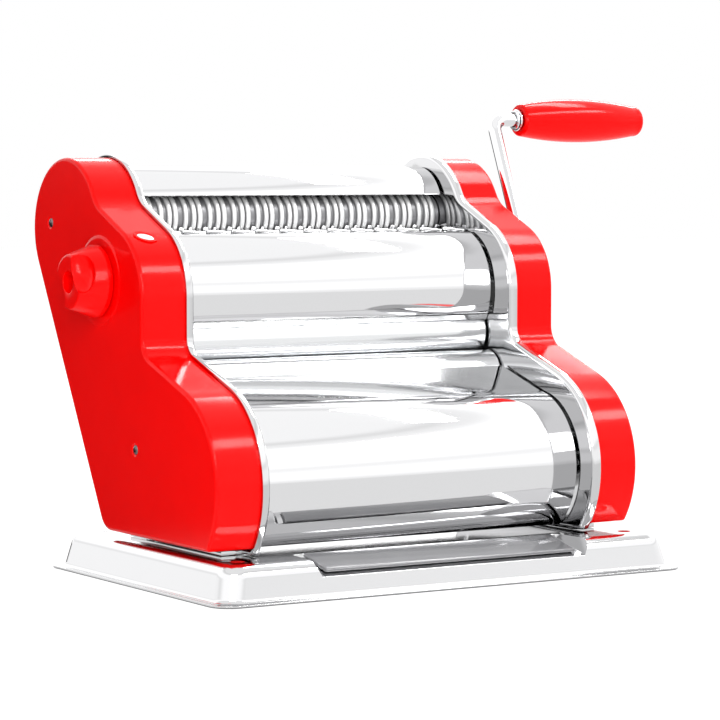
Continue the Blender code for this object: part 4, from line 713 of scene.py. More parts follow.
cloud = add_node(tree, "ShaderNodeTexNoise", {"Scale": 40.0, "Detail": 2.0}, {"Vector": (place, "Object")})
tint = add_node(tree, "ShaderNodeMix", {"data_type": "RGBA"}, {"Factor": (cloud, 0)})
tint.inputs["A"].default_value = linear("#67676A")
tint.inputs["B"].default_value = linear("#7A7A7C")
tree.links.new(tint.outputs["Result"], shader.inputs["Base Color"])
tree.links.new(shader.outputs[0], output.inputs["Surface"])
finish_piece(inlay, smoke, "frame", "smoked_plastic", "inlay_plate")

# Three polished guards close the front between the plates: the low one with its ramp, the middle one that hides
# the scraper, and the hood over the cutters.
GUARD_WALL = 0.0012
SHEET_HALF = PLATE_INNER_X - 0.0015
LOW_GUARD = (-0.018, 0.0545)
LOW_GUARD_R = 0.0398
RAMP_START = (0.0134, 0.1058)
RAMP_END = (-0.0237, 0.0940)
MID_GUARD = (0.059, 0.150)
MID_GUARD_R = 0.0345
TOP_GUARD = (0.1005, 0.1935)
TOP_GUARD_R = 0.0245
HOOD_BACK_R = 0.0330


def bent_sheet(name, line, wall, half_length, edge=0.0003):
    """A sheet bent along a line in (y, z): the line is pulled along X, thickened to its left, its edges eased."""
    piece = wire(name, [(half_length, y, z) for y, z in line], closed=False)
    edit_all(piece)
    bpy.ops.mesh.select_mode(type="EDGE")
    bpy.ops.mesh.extrude_region_move(TRANSFORM_OT_translate={"value": (-half_length * 2, 0, 0)})
    bpy.ops.object.mode_set(mode="OBJECT")
    first = piece.data.polygons[0]
    along = Vector((0, *line[1])) - Vector((0, *line[0]))
    left = Vector((0, -along.z, along.y))
    if first.normal.dot(left) > 0:
        piece.data.flip_normals()
    use_modifier(piece, "SOLIDIFY", thickness=wall, offset=-1, use_even_offset=True)
    if edge:
        use_modifier(piece, "BEVEL", width=edge, segments=2, limit_method="ANGLE", angle_limit=radians(60))
    return piece


low_start = atan2(RAMP_END[1] - LOW_GUARD[1], RAMP_END[0] - LOW_GUARD[0])
low_guard = bent_sheet("low_guard", [RAMP_START] + arc(LOW_GUARD, LOW_GUARD_R, low_start, radians(232), 72),
                       GUARD_WALL, SHEET_HALF)
finish_piece(low_guard, sheet_steel, "frame", "polished_steel", "lower_guard")
MID_GUARD_EDGE = radians(110.5)
middle_guard = bent_sheet("middle_guard", arc(MID_GUARD, MID_GUARD_R, MID_GUARD_EDGE, radians(204.2), 72), GUARD_WALL,
                          SHEET_HALF)
finish_piece(middle_guard, sheet_steel, "frame", "polished_steel", "middle_guard")
hood_centre = (TOP_GUARD[0], TOP_GUARD[1] + TOP_GUARD_R - HOOD_BACK_R)
hood_line = arc(hood_centre, HOOD_BACK_R, radians(-50), pi / 2, 60)[:-1]
hood_line += arc(TOP_GUARD, TOP_GUARD_R, pi / 2, radians(158), 30)
hood = bent_sheet("hood", hood_line, GUARD_WALL, SHEET_HALF)
finish_piece(hood, sheet_steel, "frame", "polished_steel", "upper_guard")

# Two flat panels with hemmed edges close the leaning back. The sheet comes out below the lower one, the noodles
# between the two.
BACK_FOOT = (BACK_FOOT_Y, COVER_BOTTOM_Z)
BACK_SPAN = hypot(TOP_LOBE[0] - BACK_FOOT[0], TOP_LOBE[1] - BACK_FOOT[1])
BACK_LEAN = atan2(TOP_LOBE[1] - BACK_FOOT[1], TOP_LOBE[0] - BACK_FOOT[0]) - acos(
    sqrt(BACK_SPAN ** 2 - TOP_LOBE_R ** 2) / BACK_SPAN)
PANEL_FOOT = polar(BACK_FOOT, 0.008, BACK_LEAN + pi / 2)
HEM = 0.003
HEM_BEND_R = 0.0022


def rear_panel(name, start, end):
    low, high = polar(PANEL_FOOT, start, BACK_LEAN), polar(PANEL_FOOT, end, BACK_LEAN)
    low_hem, high_hem = polar(low, HEM, BACK_LEAN + pi / 2), polar(high, HEM, BACK_LEAN + pi / 2)
    line = [low_hem] + round_corner(low_hem, low, high, HEM_BEND_R, 8)
    line += round_corner(low, high, high_hem, HEM_BEND_R, 8) + [high_hem]
    return bent_sheet(name, line, GUARD_WALL, SHEET_HALF)


low_panel = rear_panel("low_panel", 0.006, 0.050)
finish_piece(low_panel, sheet_steel, "frame", "polished_steel", "rear_panel_lower")
high_panel = rear_panel("high_panel", 0.075, 0.125)
finish_piece(high_panel, sheet_steel, "frame", "polished_steel", "rear_panel_upper")

# Two smooth rollers press the dough. They are ground steel bars with eased ends, and their journals run in bronze.
# The crank plugs into the square socket in the lower one.
ROLLER_HALF = PLATE_INNER_X - 0.0005
ROLLER_EASE = 0.0012
SHAFT_END_X = 0.1255
PAIR_END_X = 0.1162
JOURNAL_LEFT_X = 0.1070
JOURNAL_EASE = 0.0005
CRANK_STUB_X = 0.1125
CRANK_SQUARE = 0.0062


def ground_steel(name, hex_colour, roughness, around, metal=1.0):
    """Ground or turned steel: the tool's fine rings run round the bar, so they change quickly along X only."""
    made, tree, output = empty_material(name)
    shader = add_node(tree, "ShaderNodeBsdfPrincipled",
                      {"Base Color": linear(hex_colour), "Metallic": metal, "Roughness": roughness})
    place = add_node(tree, "ShaderNodeTexCoord")
    stretch = add_node(tree, "ShaderNodeMapping", {"Scale": (1600.0, around, around)}, {"Vector": (place, "Object")})
    rings = add_node(tree, "ShaderNodeTexNoise", {"Scale": 1.0, "Detail": 2.0}, {"Vector": (stretch, 0)})
    rough = add_node(tree, "ShaderNodeMapRange",
                     {"From Min": 0.3, "From Max": 0.7, "To Min": roughness * 0.75, "To Max": roughness * 1.3},
                     {"Value": (rings, 0)})
    bump = add_node(tree, "ShaderNodeBump", {"Strength": 0.06, "Distance": 0.0001}, {"Height": (rings, 0)})
    tree.links.new(rough.outputs[0], shader.inputs["Roughness"])
    tree.links.new(bump.outputs[0], shader.inputs["Normal"])
    tree.links.new(shader.outputs[0], output.inputs["Surface"])
    return made


def journal_end(end_x, radius, side):
    """The chamfered end of a journal, from the axis outwards, on the side given by its sign."""
    return [(side * end_x, 0), (side * end_x, radius - JOURNAL_EASE), (side * (end_x - JOURNAL_EASE), radius)]


def smooth_roller(name, centre, journal_r, right_x):
    corner = (ROLLER_HALF - ROLLER_EASE, ROLLER_R - ROLLER_EASE)
    eased = arc(corner, ROLLER_EASE, 0, pi / 2, 6)
    profile = journal_end(right_x, journal_r, 1) + [(ROLLER_HALF, journal_r)] + eased
    profile += [(-x, radius) for x, radius in reversed(eased)] + [(-ROLLER_HALF, journal_r)]
    profile += reversed(journal_end(JOURNAL_LEFT_X, journal_r, -1))
    return turned(name, profile, centre, 128)


roller_steel = ground_steel("ground_roller_steel", "#DCDDDE", 0.16, 8.0)
low_roller = smooth_roller("low_roller", LOWER_AXIS, 0.0065, SHAFT_END_X)
socket_half = CRANK_SQUARE / 2 + 0.0003
cut(low_roller, box("socket", (CRANK_STUB_X, LOWER_AXIS[0] - socket_half, LOWER_AXIS[1] - socket_half),
                    (SHAFT_END_X + 0.002, LOWER_AXIS[0] + socket_half, LOWER_AXIS[1] + socket_half)))
finish_piece(low_roller, roller_steel, "drive", "polished_steel", "lower_roller")
high_roller = smooth_roller("high_roller", UPPER_AXIS, 0.005, PAIR_END_X)
finish_piece(high_roller, roller_steel, "upper_roller", "polished_steel", "upper_roller")

# The noodle cutters are turned from one bar each, with rounded ridges in groups of three between smooth grooves.
# The rear one's ridges stand in the front one's wider grooves.
CUTTER_TIP_R = 0.0135
CUTTER_GROOVE_R = 0.0116
CUTTER_JOURNAL_R = 0.0045
CUTTER_GROUP = 0.0154
CUTTER_GROUPS = 13
FRONT_RIDGES = ((0.0, 0.0029), (0.0051, 0.0030), (0.0089, 0.0031))
REAR_RIDGES = ((0.0032, 0.0016), (0.0123, 0.0028))


def ridge_starts(ridges):
    """Start and width of every ridge, from the left end to the right one."""
    first = -CUTTER_GROUP * CUTTER_GROUPS / 2 + 0.0007
    return [(first + group * CUTTER_GROUP + start, width) for group in range(CUTTER_GROUPS)
            for start, width in ridges]


def cutter(name, centre, ridges, right_x):
    profile = list(reversed(journal_end(JOURNAL_LEFT_X, CUTTER_JOURNAL_R, -1)))[::-1]
    profile += [(-ROLLER_HALF, CUTTER_JOURNAL_R), (-ROLLER_HALF, CUTTER_GROOVE_R)]
    for start, width in ridge_starts(ridges):
        for step in range(9):
            angle = pi * step / 8
            rise = (CUTTER_TIP_R - CUTTER_GROOVE_R) * max(sin(angle), 0) ** 0.7
            profile.append((start + width / 2 * (1 - cos(angle)), CUTTER_GROOVE_R + rise))
    profile += [(ROLLER_HALF, CUTTER_GROOVE_R), (ROLLER_HALF, CUTTER_JOURNAL_R)]
    profile += reversed(journal_end(right_x, CUTTER_JOURNAL_R, 1))
    return turned(name, profile, centre, 72)




def turned_steel(name, axis):
    """Turned cutter steel with shade painted in: the base colour is dark grey down in the grooves and light grey on the
    ridges, standing in for the shade between the ridges.
    """
    made, tree, output = empty_material(name)
    shader = add_node(tree, "ShaderNodeBsdfPrincipled",
                      {"Base Color": linear("#C8C8C8"), "Metallic": 0.35, "Roughness": 0.40})
    place = add_node(tree, "ShaderNodeTexCoord")
    middle = (MIDDLE.x, MIDDLE.y + axis[0], axis[1])
    from_axis = add_node(tree, "ShaderNodeVectorMath", {"operation": "SUBTRACT", 1: middle}, {0: (place, "Object")})
    across = add_node(tree, "ShaderNodeVectorMath", {"operation": "MULTIPLY", 1: (0, 1, 1)}, {0: (from_axis, 0)})
    reach = add_node(tree, "ShaderNodeVectorMath", {"operation": "LENGTH"}, {0: (across, 0)})
    # Painted shade: the colour darkens with depth from the ridge tips to the groove floor.
    groove_shade_factor = add_node(tree, "ShaderNodeMapRange", {"From Min": CUTTER_GROOVE_R + 0.0003,
                                                   "From Max": CUTTER_TIP_R - 0.0006}, {"Value": (reach, "Value")})
    tint = add_node(tree, "ShaderNodeMix", {"data_type": "RGBA"}, {"Factor": (groove_shade_factor, 0)})
    tint.inputs["A"].default_value = linear("#7C7C7E")
    tint.inputs["B"].default_value = linear("#D9D9D9")
    marks = add_node(tree, "ShaderNodeTexNoise", {"Scale": 900.0, "Detail": 2.0}, {"Vector": (place, "Object")})
    rough = add_node(tree, "ShaderNodeMapRange", {"From Min": 0.3, "From Max": 0.7, "To Min": 0.34, "To Max": 0.46},
                     {"Value": (marks, 0)})
    tree.links.new(tint.outputs["Result"], shader.inputs["Base Color"])
    tree.links.new(rough.outputs[0], shader.inputs["Roughness"])
    tree.links.new(shader.outputs[0], output.inputs["Surface"])
    return made


front_cutter = cutter("front_cutter", CUTTER_AXIS, FRONT_RIDGES, SHAFT_END_X)
finish_piece(front_cutter, turned_steel("front_cutter_steel_painted_groove_shade", CUTTER_AXIS), "front_cutter", "polished_steel", "cutter_front", smooth=40)
rear_cutter = cutter("rear_cutter", REAR_CUTTER_AXIS, REAR_RIDGES, PAIR_END_X)
finish_piece(rear_cutter, turned_steel("rear_cutter_steel_painted_groove_shade", REAR_CUTTER_AXIS), "rear_cutter", "polished_steel", "cutter_rear", smooth=40)

# A comb under each cutter lifts the noodles out: a curved strip of sheet whose tongues reach up into the grooves.
COMB_R = CUTTER_TIP_R + 0.0016
COMB_WALL = 0.0010
TONGUE_WALL = 0.0011
TONGUE_LENGTH = 0.0042
BEAD_LENGTH = 0.0150
BEAD_WIDTH = 0.0018
BEAD_SPOT = polar(MID_GUARD, MID_GUARD_R - 0.0006, radians(101))


def comb(name, centre, line, tongues, tongue_angle, lean, beads=0):
    strip = bent_sheet(name, line, COMB_WALL, SHEET_HALF)
    bpy.ops.object.select_all(action="DESELECT")
    parts = []
    for left, width in tongues:
        tongue = box("tongue", (-width / 2, -TONGUE_WALL / 2, -TONGUE_LENGTH / 2),
                     (width / 2, TONGUE_WALL / 2, TONGUE_LENGTH / 2))
        use_modifier(tongue, "BEVEL", width=min(width, TONGUE_LENGTH) * 0.3, segments=4, limit_method="ANGLE",
                     angle_limit=radians(60))
        tongue.data.transform(Matrix.Rotation(radians(lean), 4, "Y"))
        tongue.data.transform(Matrix.Rotation(tongue_angle - pi, 4, "X"))
        spot = polar(centre, COMB_R - COMB_WALL * 1.4, tongue_angle)
        tongue.data.transform(Matrix.Translation((left + width / 2, *spot)))
        parts.append(tongue)
    for group in range(beads):
        bead = box("bead", (-BEAD_LENGTH / 2, -BEAD_WIDTH / 2, -BEAD_WIDTH / 2),
                   (BEAD_LENGTH / 2, BEAD_WIDTH / 2, BEAD_WIDTH / 2))
        use_modifier(bead, "BEVEL", width=BEAD_WIDTH * 0.42, segments=4, limit_method="ANGLE", angle_limit=radians(60))
        bead.data.transform(Matrix.Rotation(radians(4.5), 4, "Y"))
        along = (group + 0.5 - beads / 2) * CUTTER_GROUP
        bead.data.transform(Matrix.Translation((along, *BEAD_SPOT)))
        parts.append(bead)
    bpy.ops.object.select_all(action="DESELECT")
    for part in parts:
        part.select_set(True)
    strip.select_set(True)
    bpy.context.view_layer.objects.active = strip
    bpy.ops.object.join()
    return strip


comb_steel = polished_steel("comb_sheet_steel", GUARD_STEEL, 0.12, "X")
front_gaps = [(start - 0.0002, width + 0.0003) for start, width in ridge_starts(REAR_RIDGES)]
comb_line = arc(MID_GUARD, MID_GUARD_R - 0.0021, MID_GUARD_EDGE - radians(3.5), radians(68), 24)
comb_line += arc(CUTTER_AXIS, COMB_R, radians(212), radians(245), 16)
front_comb = comb("front_comb", CUTTER_AXIS, comb_line, front_gaps, radians(212), 10, CUTTER_GROUPS)
finish_piece(front_comb, comb_steel, "frame", "polished_steel", "comb_front")
rear_gaps = [(start + 0.0007, width - 0.0014) for start, width in ridge_starts(FRONT_RIDGES)]
rear_line = arc(REAR_CUTTER_AXIS, COMB_R, radians(240), radians(285), 24)
rear_comb = comb("rear_comb", REAR_CUTTER_AXIS, rear_line, rear_gaps, radians(286), 0)
finish_piece(rear_comb, comb_steel, "frame", "polished_steel", "comb_rear")

# The regulator knob on the left end is moulded in the cover's red. Two scoops leave a finger bar across it, and a
# round hole in its tip hides the screw that holds it on the shaft.
KNOB_BASE_X = 0.1335
KNOB_TIP_X = 0.1507
KNOB_SKIRT = 0.0026
KNOB_R = 0.0196
KNOB_TIP_R = 0.0145
KNOB_HOLE_R = 0.0061
KNOB_HOLE_DEPTH = 0.006
KNOB_WEB = 0.002
KNOB_TURN = radians(-25.0)
SCOOP_R = 0.0085
SCOOP_HALF = 0.0066
SCOOP_LENGTH = 0.0135
REGULATOR_BORE_R = 0.0048
shoulder_x = -KNOB_BASE_X - KNOB_SKIRT
knob_profile = [(-KNOB_BASE_X, REGULATOR_BORE_R), (-KNOB_BASE_X, KNOB_R - 0.0006), (-KNOB_BASE_X - 0.0006, KNOB_R)]
knob_profile += round_corner((-KNOB_BASE_X - 0.0006, KNOB_R), (shoulder_x, KNOB_R), (-KNOB_TIP_X, KNOB_TIP_R), 0.003, 8)
knob_profile += round_corner((shoulder_x, KNOB_R), (-KNOB_TIP_X, KNOB_TIP_R), (-KNOB_TIP_X, 0), 0.0016, 8)
knob_profile += round_corner((-KNOB_TIP_X, KNOB_TIP_R), (-KNOB_TIP_X, KNOB_HOLE_R),
                             (-KNOB_TIP_X + KNOB_HOLE_DEPTH, KNOB_HOLE_R), 0.0004, 4)
knob_profile += [(-KNOB_TIP_X + KNOB_HOLE_DEPTH, KNOB_HOLE_R), (-KNOB_TIP_X + KNOB_HOLE_DEPTH, 0.0016),
                 (-KNOB_TIP_X + KNOB_HOLE_DEPTH + KNOB_WEB, 0.0016),
                 (-KNOB_TIP_X + KNOB_HOLE_DEPTH + KNOB_WEB, REGULATOR_BORE_R), (-KNOB_BASE_X, REGULATOR_BORE_R)]
knob = turned("knob", knob_profile, (0, 0), 128)
for side in (-1, 1):
    bpy.ops.object.select_all(action="DESELECT")
    bpy.ops.mesh.primitive_uv_sphere_add(segments=96, ring_count=64, radius=1,
                                         location=(-KNOB_TIP_X, side * (SCOOP_R + SCOOP_HALF), 0))
    scoop = bpy.context.object
    scoop.scale = (SCOOP_R, SCOOP_R, SCOOP_LENGTH)
    bpy.ops.object.transform_apply(location=True, rotation=False, scale=True)
    cut(knob, scoop)
use_modifier(knob, "BEVEL", width=0.0007, segments=4, limit_method="ANGLE", angle_limit=radians(38))
knob.data.transform(Matrix.Rotation(KNOB_TURN, 4, "X"))
knob.data.transform(Matrix.Translation((0, *KNOB_AXIS)))
finish_piece(knob, red_plastic, "regulator", "red_plastic", "regulator_knob", smooth=34)

# Small pan head screws with cross recesses hold the covers, and one holds the knob. They are plated steel with a dull
# finish, coloured a dark, faintly reddish grey.
SCREW_HEAD_R = 0.0026
SCREW_HEAD_HEIGHT = 0.0012
SCREW_R = 0.0013
RECESS_WIDTH = 0.0007


def screw(name, centre, under_x, tip_x):
    """A screw that points along -X: its head stands on under_x."""
    dome = [(under_x + SCREW_HEAD_HEIGHT * cos(radians(a)), SCREW_HEAD_R * sin(radians(a))) for a in range(0, 81, 10)]
    profile = dome + [(under_x + SCREW_HEAD_HEIGHT * 0.1, SCREW_HEAD_R), (under_x, SCREW_HEAD_R), (under_x, SCREW_R),
                      (tip_x + 0.0008, SCREW_R), (tip_x, 0)]
    piece = turned(name, profile, (0, 0), 48)
    for turn in (0, pi / 2):
        slot = box("slot", (under_x + 0.0005, -0.0019, -RECESS_WIDTH / 2), (under_x + 0.003, 0.0019, RECESS_WIDTH / 2))
        slot.data.transform(Matrix.Rotation(turn + radians(20), 4, "X"))
        cut(piece, slot)
    piece.data.transform(Matrix.Translation((0, *centre)))
    return piece


screw_steel = ground_steel("plated_screw_steel", "#6B6666", 0.30, 60.0)
cover_screws = [(spot, True) for spot in left_cover_screws] + [(spot, False) for spot in right_cover_screws]
for number, (spot, on_left) in enumerate(cover_screws, 1):
    held = screw(f"cover_screw_piece_{number}", spot, COVER_OUTER_X - SCREW_SEAT_DEPTH * 0.75, COVER_OUTER_X - 0.0084)
    if on_left:
        mirror_x(held)
    finish_piece(held, screw_steel, "frame", "satin_steel", f"cover_screw_{number}")
head_x = KNOB_TIP_X - KNOB_HOLE_DEPTH + 0.0003
knob_screw = screw("knob_screw_piece", KNOB_AXIS, head_x, head_x - 0.0076)
mirror_x(knob_screw)
finish_piece(knob_screw, screw_steel, "regulator", "satin_steel", "knob_screw")

# The number wheel on the regulator's shaft shows one figure through the window in the left cover. It is white nylon
# with the figures printed on its rim.
WHEEL_R = 0.0320
WHEEL_X = 0.110
WHEEL_WIDTH = 0.016
WHEEL_HUB_LENGTH = 0.0015
WHEEL_HUB_R = 0.009
WHEEL_EDGE = 0.0008
FIGURE_STEP = radians(30)
FIGURE_ANGLE = radians(132.4)
FIGURE_X = -0.1155
FIGURE_SIZE = 0.0062
wheel_end = -WHEEL_X - WHEEL_WIDTH
hub_x = WHEEL_HUB_LENGTH - WHEEL_X
wheel_profile = [(hub_x, REGULATOR_BORE_R), (hub_x, WHEEL_HUB_R - 0.0004), (hub_x - 0.0004, WHEEL_HUB_R),
                 (-WHEEL_X, WHEEL_HUB_R)]
wheel_profile += [(-WHEEL_X, WHEEL_R - WHEEL_EDGE), (-WHEEL_X - WHEEL_EDGE * 0.3, WHEEL_R - WHEEL_EDGE * 0.3),
                  (-WHEEL_X - WHEEL_EDGE, WHEEL_R), (wheel_end + WHEEL_EDGE, WHEEL_R),
                  (wheel_end + WHEEL_EDGE * 0.3, WHEEL_R - WHEEL_EDGE * 0.3), (wheel_end, WHEEL_R - WHEEL_EDGE),
                  (wheel_end, REGULATOR_BORE_R), (hub_x, REGULATOR_BORE_R)]
wheel = turned("wheel", wheel_profile, KNOB_AXIS, 128)


def plastic(name, hex_colour, roughness, level):
    """A plain plastic or rubber with a slightly uneven skin."""
    made, tree, output = empty_material(name)
    shader = add_node(tree, "ShaderNodeBsdfPrincipled",
                      {"Base Color": linear(hex_colour), "Roughness": roughness, "Specular IOR Level": level})
    place = add_node(tree, "ShaderNodeTexCoord")
    cloud = add_node(tree, "ShaderNodeTexNoise", {"Scale": 260.0, "Detail": 3.0}, {"Vector": (place, "Object")})
    rough = add_node(tree, "ShaderNodeMapRange",
                     {"From Min": 0.3, "From Max": 0.7, "To Min": roughness * 0.85, "To Max": roughness * 1.15},
                     {"Value": (cloud, 0)})
    bump = add_node(tree, "ShaderNodeBump", {"Strength": 0.1, "Distance": 0.0002}, {"Height": (cloud, 0)})
    tree.links.new(rough.outputs[0], shader.inputs["Roughness"])
    tree.links.new(bump.outputs[0], shader.inputs["Normal"])
    tree.links.new(shader.outputs[0], output.inputs["Surface"])
    return made


white_nylon = plastic("white_nylon", "#F2F1EC", 0.35, 0.4)
finish_piece(wheel, white_nylon, "regulator", "white_plastic", "number_wheel", smooth=28)
figures = []
for number in range(10):
    bpy.ops.object.select_all(action="DESELECT")
    bpy.ops.object.text_add(location=(0, 0, 0))
    figure = bpy.context.object
    figure.data.body = str(number)
    figure.data.size = FIGURE_SIZE
    figure.data.extrude = 0.00008
    figure.data.align_x, figure.data.align_y = "CENTER", "CENTER"
    bpy.ops.object.convert(target="MESH")
    figure = bpy.context.object
    for vertex in figure.data.vertices:
        turn = FIGURE_ANGLE - number * FIGURE_STEP - vertex.co.y / WHEEL_R
        spot = polar(KNOB_AXIS, WHEEL_R + vertex.co.z, turn)
        vertex.co = (FIGURE_X + vertex.co.x, *spot)
    figures.append(figure)
bpy.ops.object.select_all(action="DESELECT")
for figure in figures:
    figure.select_set(True)
bpy.context.view_layer.objects.active = figures[0]
bpy.ops.object.join()
figures[0].name = "wheel_figures"
dark_ink = plastic("dark_printing_ink", "#1B1B1D", 0.45, 0.3)
finish_piece(figures[0], dark_ink, "regulator", "black_rubber", smooth=10)

# A milky lens closes the dial window in the left cover, flush with the shoulder, and the wheel's figure shows through.
lens = window_plug("lens", WINDOW_HALF_WIDTH - 0.0002, WINDOW_HALF_HEIGHT - 0.0002, MID_LOBE_R - 0.0016,
                   MID_LOBE_R + 0.0002)
use_modifier(lens, "BEVEL", width=0.0004, segments=4, limit_method="ANGLE", angle_limit=radians(60))
milky, tree, output = empty_material("milky_polycarbonate")
shader = add_node(tree, "ShaderNodeBsdfPrincipled",
                  {"Base Color": linear("#F6F6F6"), "Roughness": 0.08, "IOR": 1.58, "Transmission Weight": 0.25})
place = add_node(tree, "ShaderNodeTexCoord")
cloud = add_node(tree, "ShaderNodeTexNoise", {"Scale": 300.0, "Detail": 2.0}, {"Vector": (place, "Object")})
rough = add_node(tree, "ShaderNodeMapRange", {"From Min": 0.3, "From Max": 0.7, "To Min": 0.05, "To Max": 0.12},
                 {"Value": (cloud, 0)})
tree.links.new(rough.outputs[0], shader.inputs["Roughness"])
tree.links.new(shader.outputs[0], output.inputs["Surface"])
finish_piece(lens, milky, "frame", "white_plastic")

# Four hex head bolts clamp the plates' bottom flanges to the tray, each with a nut beneath.
BOLT_X = 0.1115
BOLT_Y = (-0.044, 0.040)
BOLT_HEAD_R = 0.0045
BOLT_HEAD_HEIGHT = 0.0011
BOLT_NUT_R = 0.0040
BOLT_NUT_HEIGHT = 0.0032


def hex_bar(name, radius, low, high, ease):
    """A hexagonal bar along X with eased edges."""
    bar = turned(name, [(high, 0), (high, radius), (low, radius), (low, 0)], (0, 0), 6)
    use_modifier(bar, "BEVEL", width=ease, segments=3, limit_method="ANGLE", angle_limit=radians(40))
    return bar


def stand_up(piece, centre):
    """Turns a piece that was made along X upright, onto a point of the ground plan."""
    piece.data.transform(Matrix.Rotation(-pi / 2, 4, "Y"))
    piece.data.transform(Matrix.Translation((*centre, 0)))


def joined(pieces):
    bpy.ops.object.select_all(action="DESELECT")
    for piece in pieces:
        piece.select_set(True)
    bpy.context.view_layer.objects.active = pieces[0]
    bpy.ops.object.join()
    return pieces[0]


bright_steel = ground_steel("bright_plated_steel", "#D4D5D7", 0.2, 60.0)
bolt_under_z = flange_bottom + FLANGE_THICK + 0.0003
bolt_places = [(side * BOLT_X, y) for side in (-1, 1) for y in BOLT_Y]

for number, spot in enumerate(bolt_places, 1):
    head = hex_bar("bolt_head", BOLT_HEAD_R, bolt_under_z, bolt_under_z + BOLT_HEAD_HEIGHT, 0.0003)
    nut_top = TRAY_TOP_Z - TRAY_WALL - 0.0003
    nut = hex_bar("bolt_nut", BOLT_NUT_R, nut_top - BOLT_NUT_HEIGHT, nut_top, 0.0003)
    shank = disc("bolt_shank", (0, 0), 0.0020, nut_top - BOLT_NUT_HEIGHT + 0.0004, bolt_under_z + 0.0004, 32)
    bolt = joined([head, nut, shank])
    bolt.name = f"frame_bolt_piece_{number}"
    stand_up(bolt, spot)
    finish_piece(bolt, bright_steel, "frame", "satin_steel", f"frame_bolt_{number}")

# Four black rubber feet under the tray's corners keep it from sliding. Each is a tapered pad with a rolled foot.
FOOT_R = 0.009
FOOT_INSET = 0.030
FOOT_ROLL = 0.0016
foot_top = TRAY_TOP_Z - TRAY_WALL - 0.0003
foot_profile = [(foot_top, 0), (foot_top, FOOT_R * 0.76)]
foot_profile += arc((foot_top - 0.0010, FOOT_R * 0.76 - 0.0004), 0.0010, radians(10), radians(80), 4)
foot_profile += [(FOOT_ROLL + 0.003, FOOT_R * 0.93)]
foot_profile += [(FOOT_ROLL - FOOT_ROLL * sin(a), FOOT_R - FOOT_ROLL + FOOT_ROLL * cos(a))
                 for a in (pi / 2 * step / 6 for step in range(7))]
foot_profile += [(0, FOOT_R * 0.45), (0.0008, FOOT_R * 0.40), (0.0008, 0)]
black_rubber = plastic("black_rubber", "#1C1C1C", 0.6, 0.3)
foot_places = [(side_x * (TRAY_LENGTH / 2 - FOOT_INSET), side_y * (TRAY_DEPTH / 2 - FOOT_INSET))
               for side_x in (-1, 1) for side_y in (-1, 1)]
for number, spot in enumerate(foot_places, 1):
    foot = turned(f"foot_piece_{number}", foot_profile, (0, 0), 64)
    stand_up(foot, spot)
    finish_piece(foot, black_rubber, "frame", "black_rubber", f"rubber_foot_{number}")

# Three tie rods hold the plates apart: turned bars with shoulders, and a hex nut outside each plate. The low one
# runs on to the covers, whose screws it takes.
TIE_RODS = ((-0.018, 0.055), (0.080, 0.163), LOW_POST)
ROD_R = 0.004
ROD_END_R = 0.003
NUT_R = 0.0062
NUT_HEIGHT = 0.0035
for number, spot in enumerate(TIE_RODS, 1):
    nut_x = COVER_OPEN_X + NUT_HEIGHT
    end_x = COVER_OUTER_X - COVER_WALL - 0.0003 if spot == LOW_POST else nut_x + 0.0006
    half = [(end_x, 0), (end_x, ROD_END_R - 0.0004), (end_x - 0.0004, ROD_END_R), (SHEET_HALF, ROD_END_R),
            (SHEET_HALF, ROD_R - 0.0004), (SHEET_HALF - 0.0004, ROD_R)]
    if spot == LOW_POST:
        half = [(end_x - 0.0070, 0), (end_x - 0.0070, 0.0016), (end_x, 0.0016)] + half[1:]
    bar = turned("bar", half + [(-x, radius) for x, radius in reversed(half)], (0, 0), 48)
    nuts = [hex_bar("nut", NUT_R, low, low + NUT_HEIGHT, 0.0005) for low in (COVER_OPEN_X, -nut_x)]
    rod = joined([bar] + nuts)
    rod.name = f"tie_rod_piece_{number}"
    rod.data.transform(Matrix.Translation((0, *spot)))
    finish_piece(rod, bright_steel, "frame", "satin_steel", f"tie_rod_{number}")

# The crank is one polished steel rod bent twice, with its inner end squared for the roller's socket.
CRANK_ROD_R = 0.0039
CRANK_ARM = 0.1652
CRANK_LEAN = radians(61.8)
CRANK_LOW_X = 0.1446
CRANK_TOP_X = 0.1566
CRANK_BEND_R = 0.009
CRANK_START_X = SHAFT_END_X + 0.0009
GRIP_START_X = 0.1755
GRIP_END_X = GRIP_START_X + 0.0885
GRIP_BORE_END_X = GRIP_END_X - 0.006
arm_turn = atan2(CRANK_ARM, CRANK_TOP_X - CRANK_LOW_X)
arm_way = Vector((cos(arm_turn), 0, sin(arm_turn)))
arm_side = Vector((sin(arm_turn), 0, -cos(arm_turn)))
bend_reach = CRANK_BEND_R * tan(arm_turn / 2)
bend_start = Vector((CRANK_LOW_X - bend_reach, 0, 0))
arm_start = Vector((CRANK_LOW_X, 0, 0)) + arm_way * bend_reach
arm_end = Vector((CRANK_TOP_X, 0, CRANK_ARM)) - arm_way * bend_reach
bpy.ops.object.select_all(action="DESELECT")
bpy.ops.mesh.primitive_circle_add(vertices=48, radius=CRANK_ROD_R, location=(0, 0, 0))
crank = bpy.context.object
crank.name = "crank"
crank.data.transform(Matrix.Translation((CRANK_START_X, 0, 0)) @ Matrix.Rotation(pi / 2, 4, "Y"))
edit_all(crank)
bpy.ops.mesh.select_mode(type="EDGE")
bpy.ops.mesh.extrude_region_move(TRANSFORM_OT_translate={"value": bend_start - Vector((CRANK_START_X, 0, 0))})
bpy.ops.mesh.spin(steps=20, angle=arm_turn, center=bend_start + Vector((0, 0, CRANK_BEND_R)), axis=(0, 1, 0))
bpy.ops.mesh.extrude_region_move(TRANSFORM_OT_translate={"value": arm_end - arm_start})
bpy.ops.mesh.spin(steps=20, angle=arm_turn, center=arm_end + arm_side * CRANK_BEND_R, axis=(0, -1, 0))
bpy.ops.mesh.extrude_region_move(
    TRANSFORM_OT_translate={"value": (GRIP_BORE_END_X - 0.0012 - CRANK_TOP_X - bend_reach, 0, 0)})
bpy.ops.object.mode_set(mode="OBJECT")
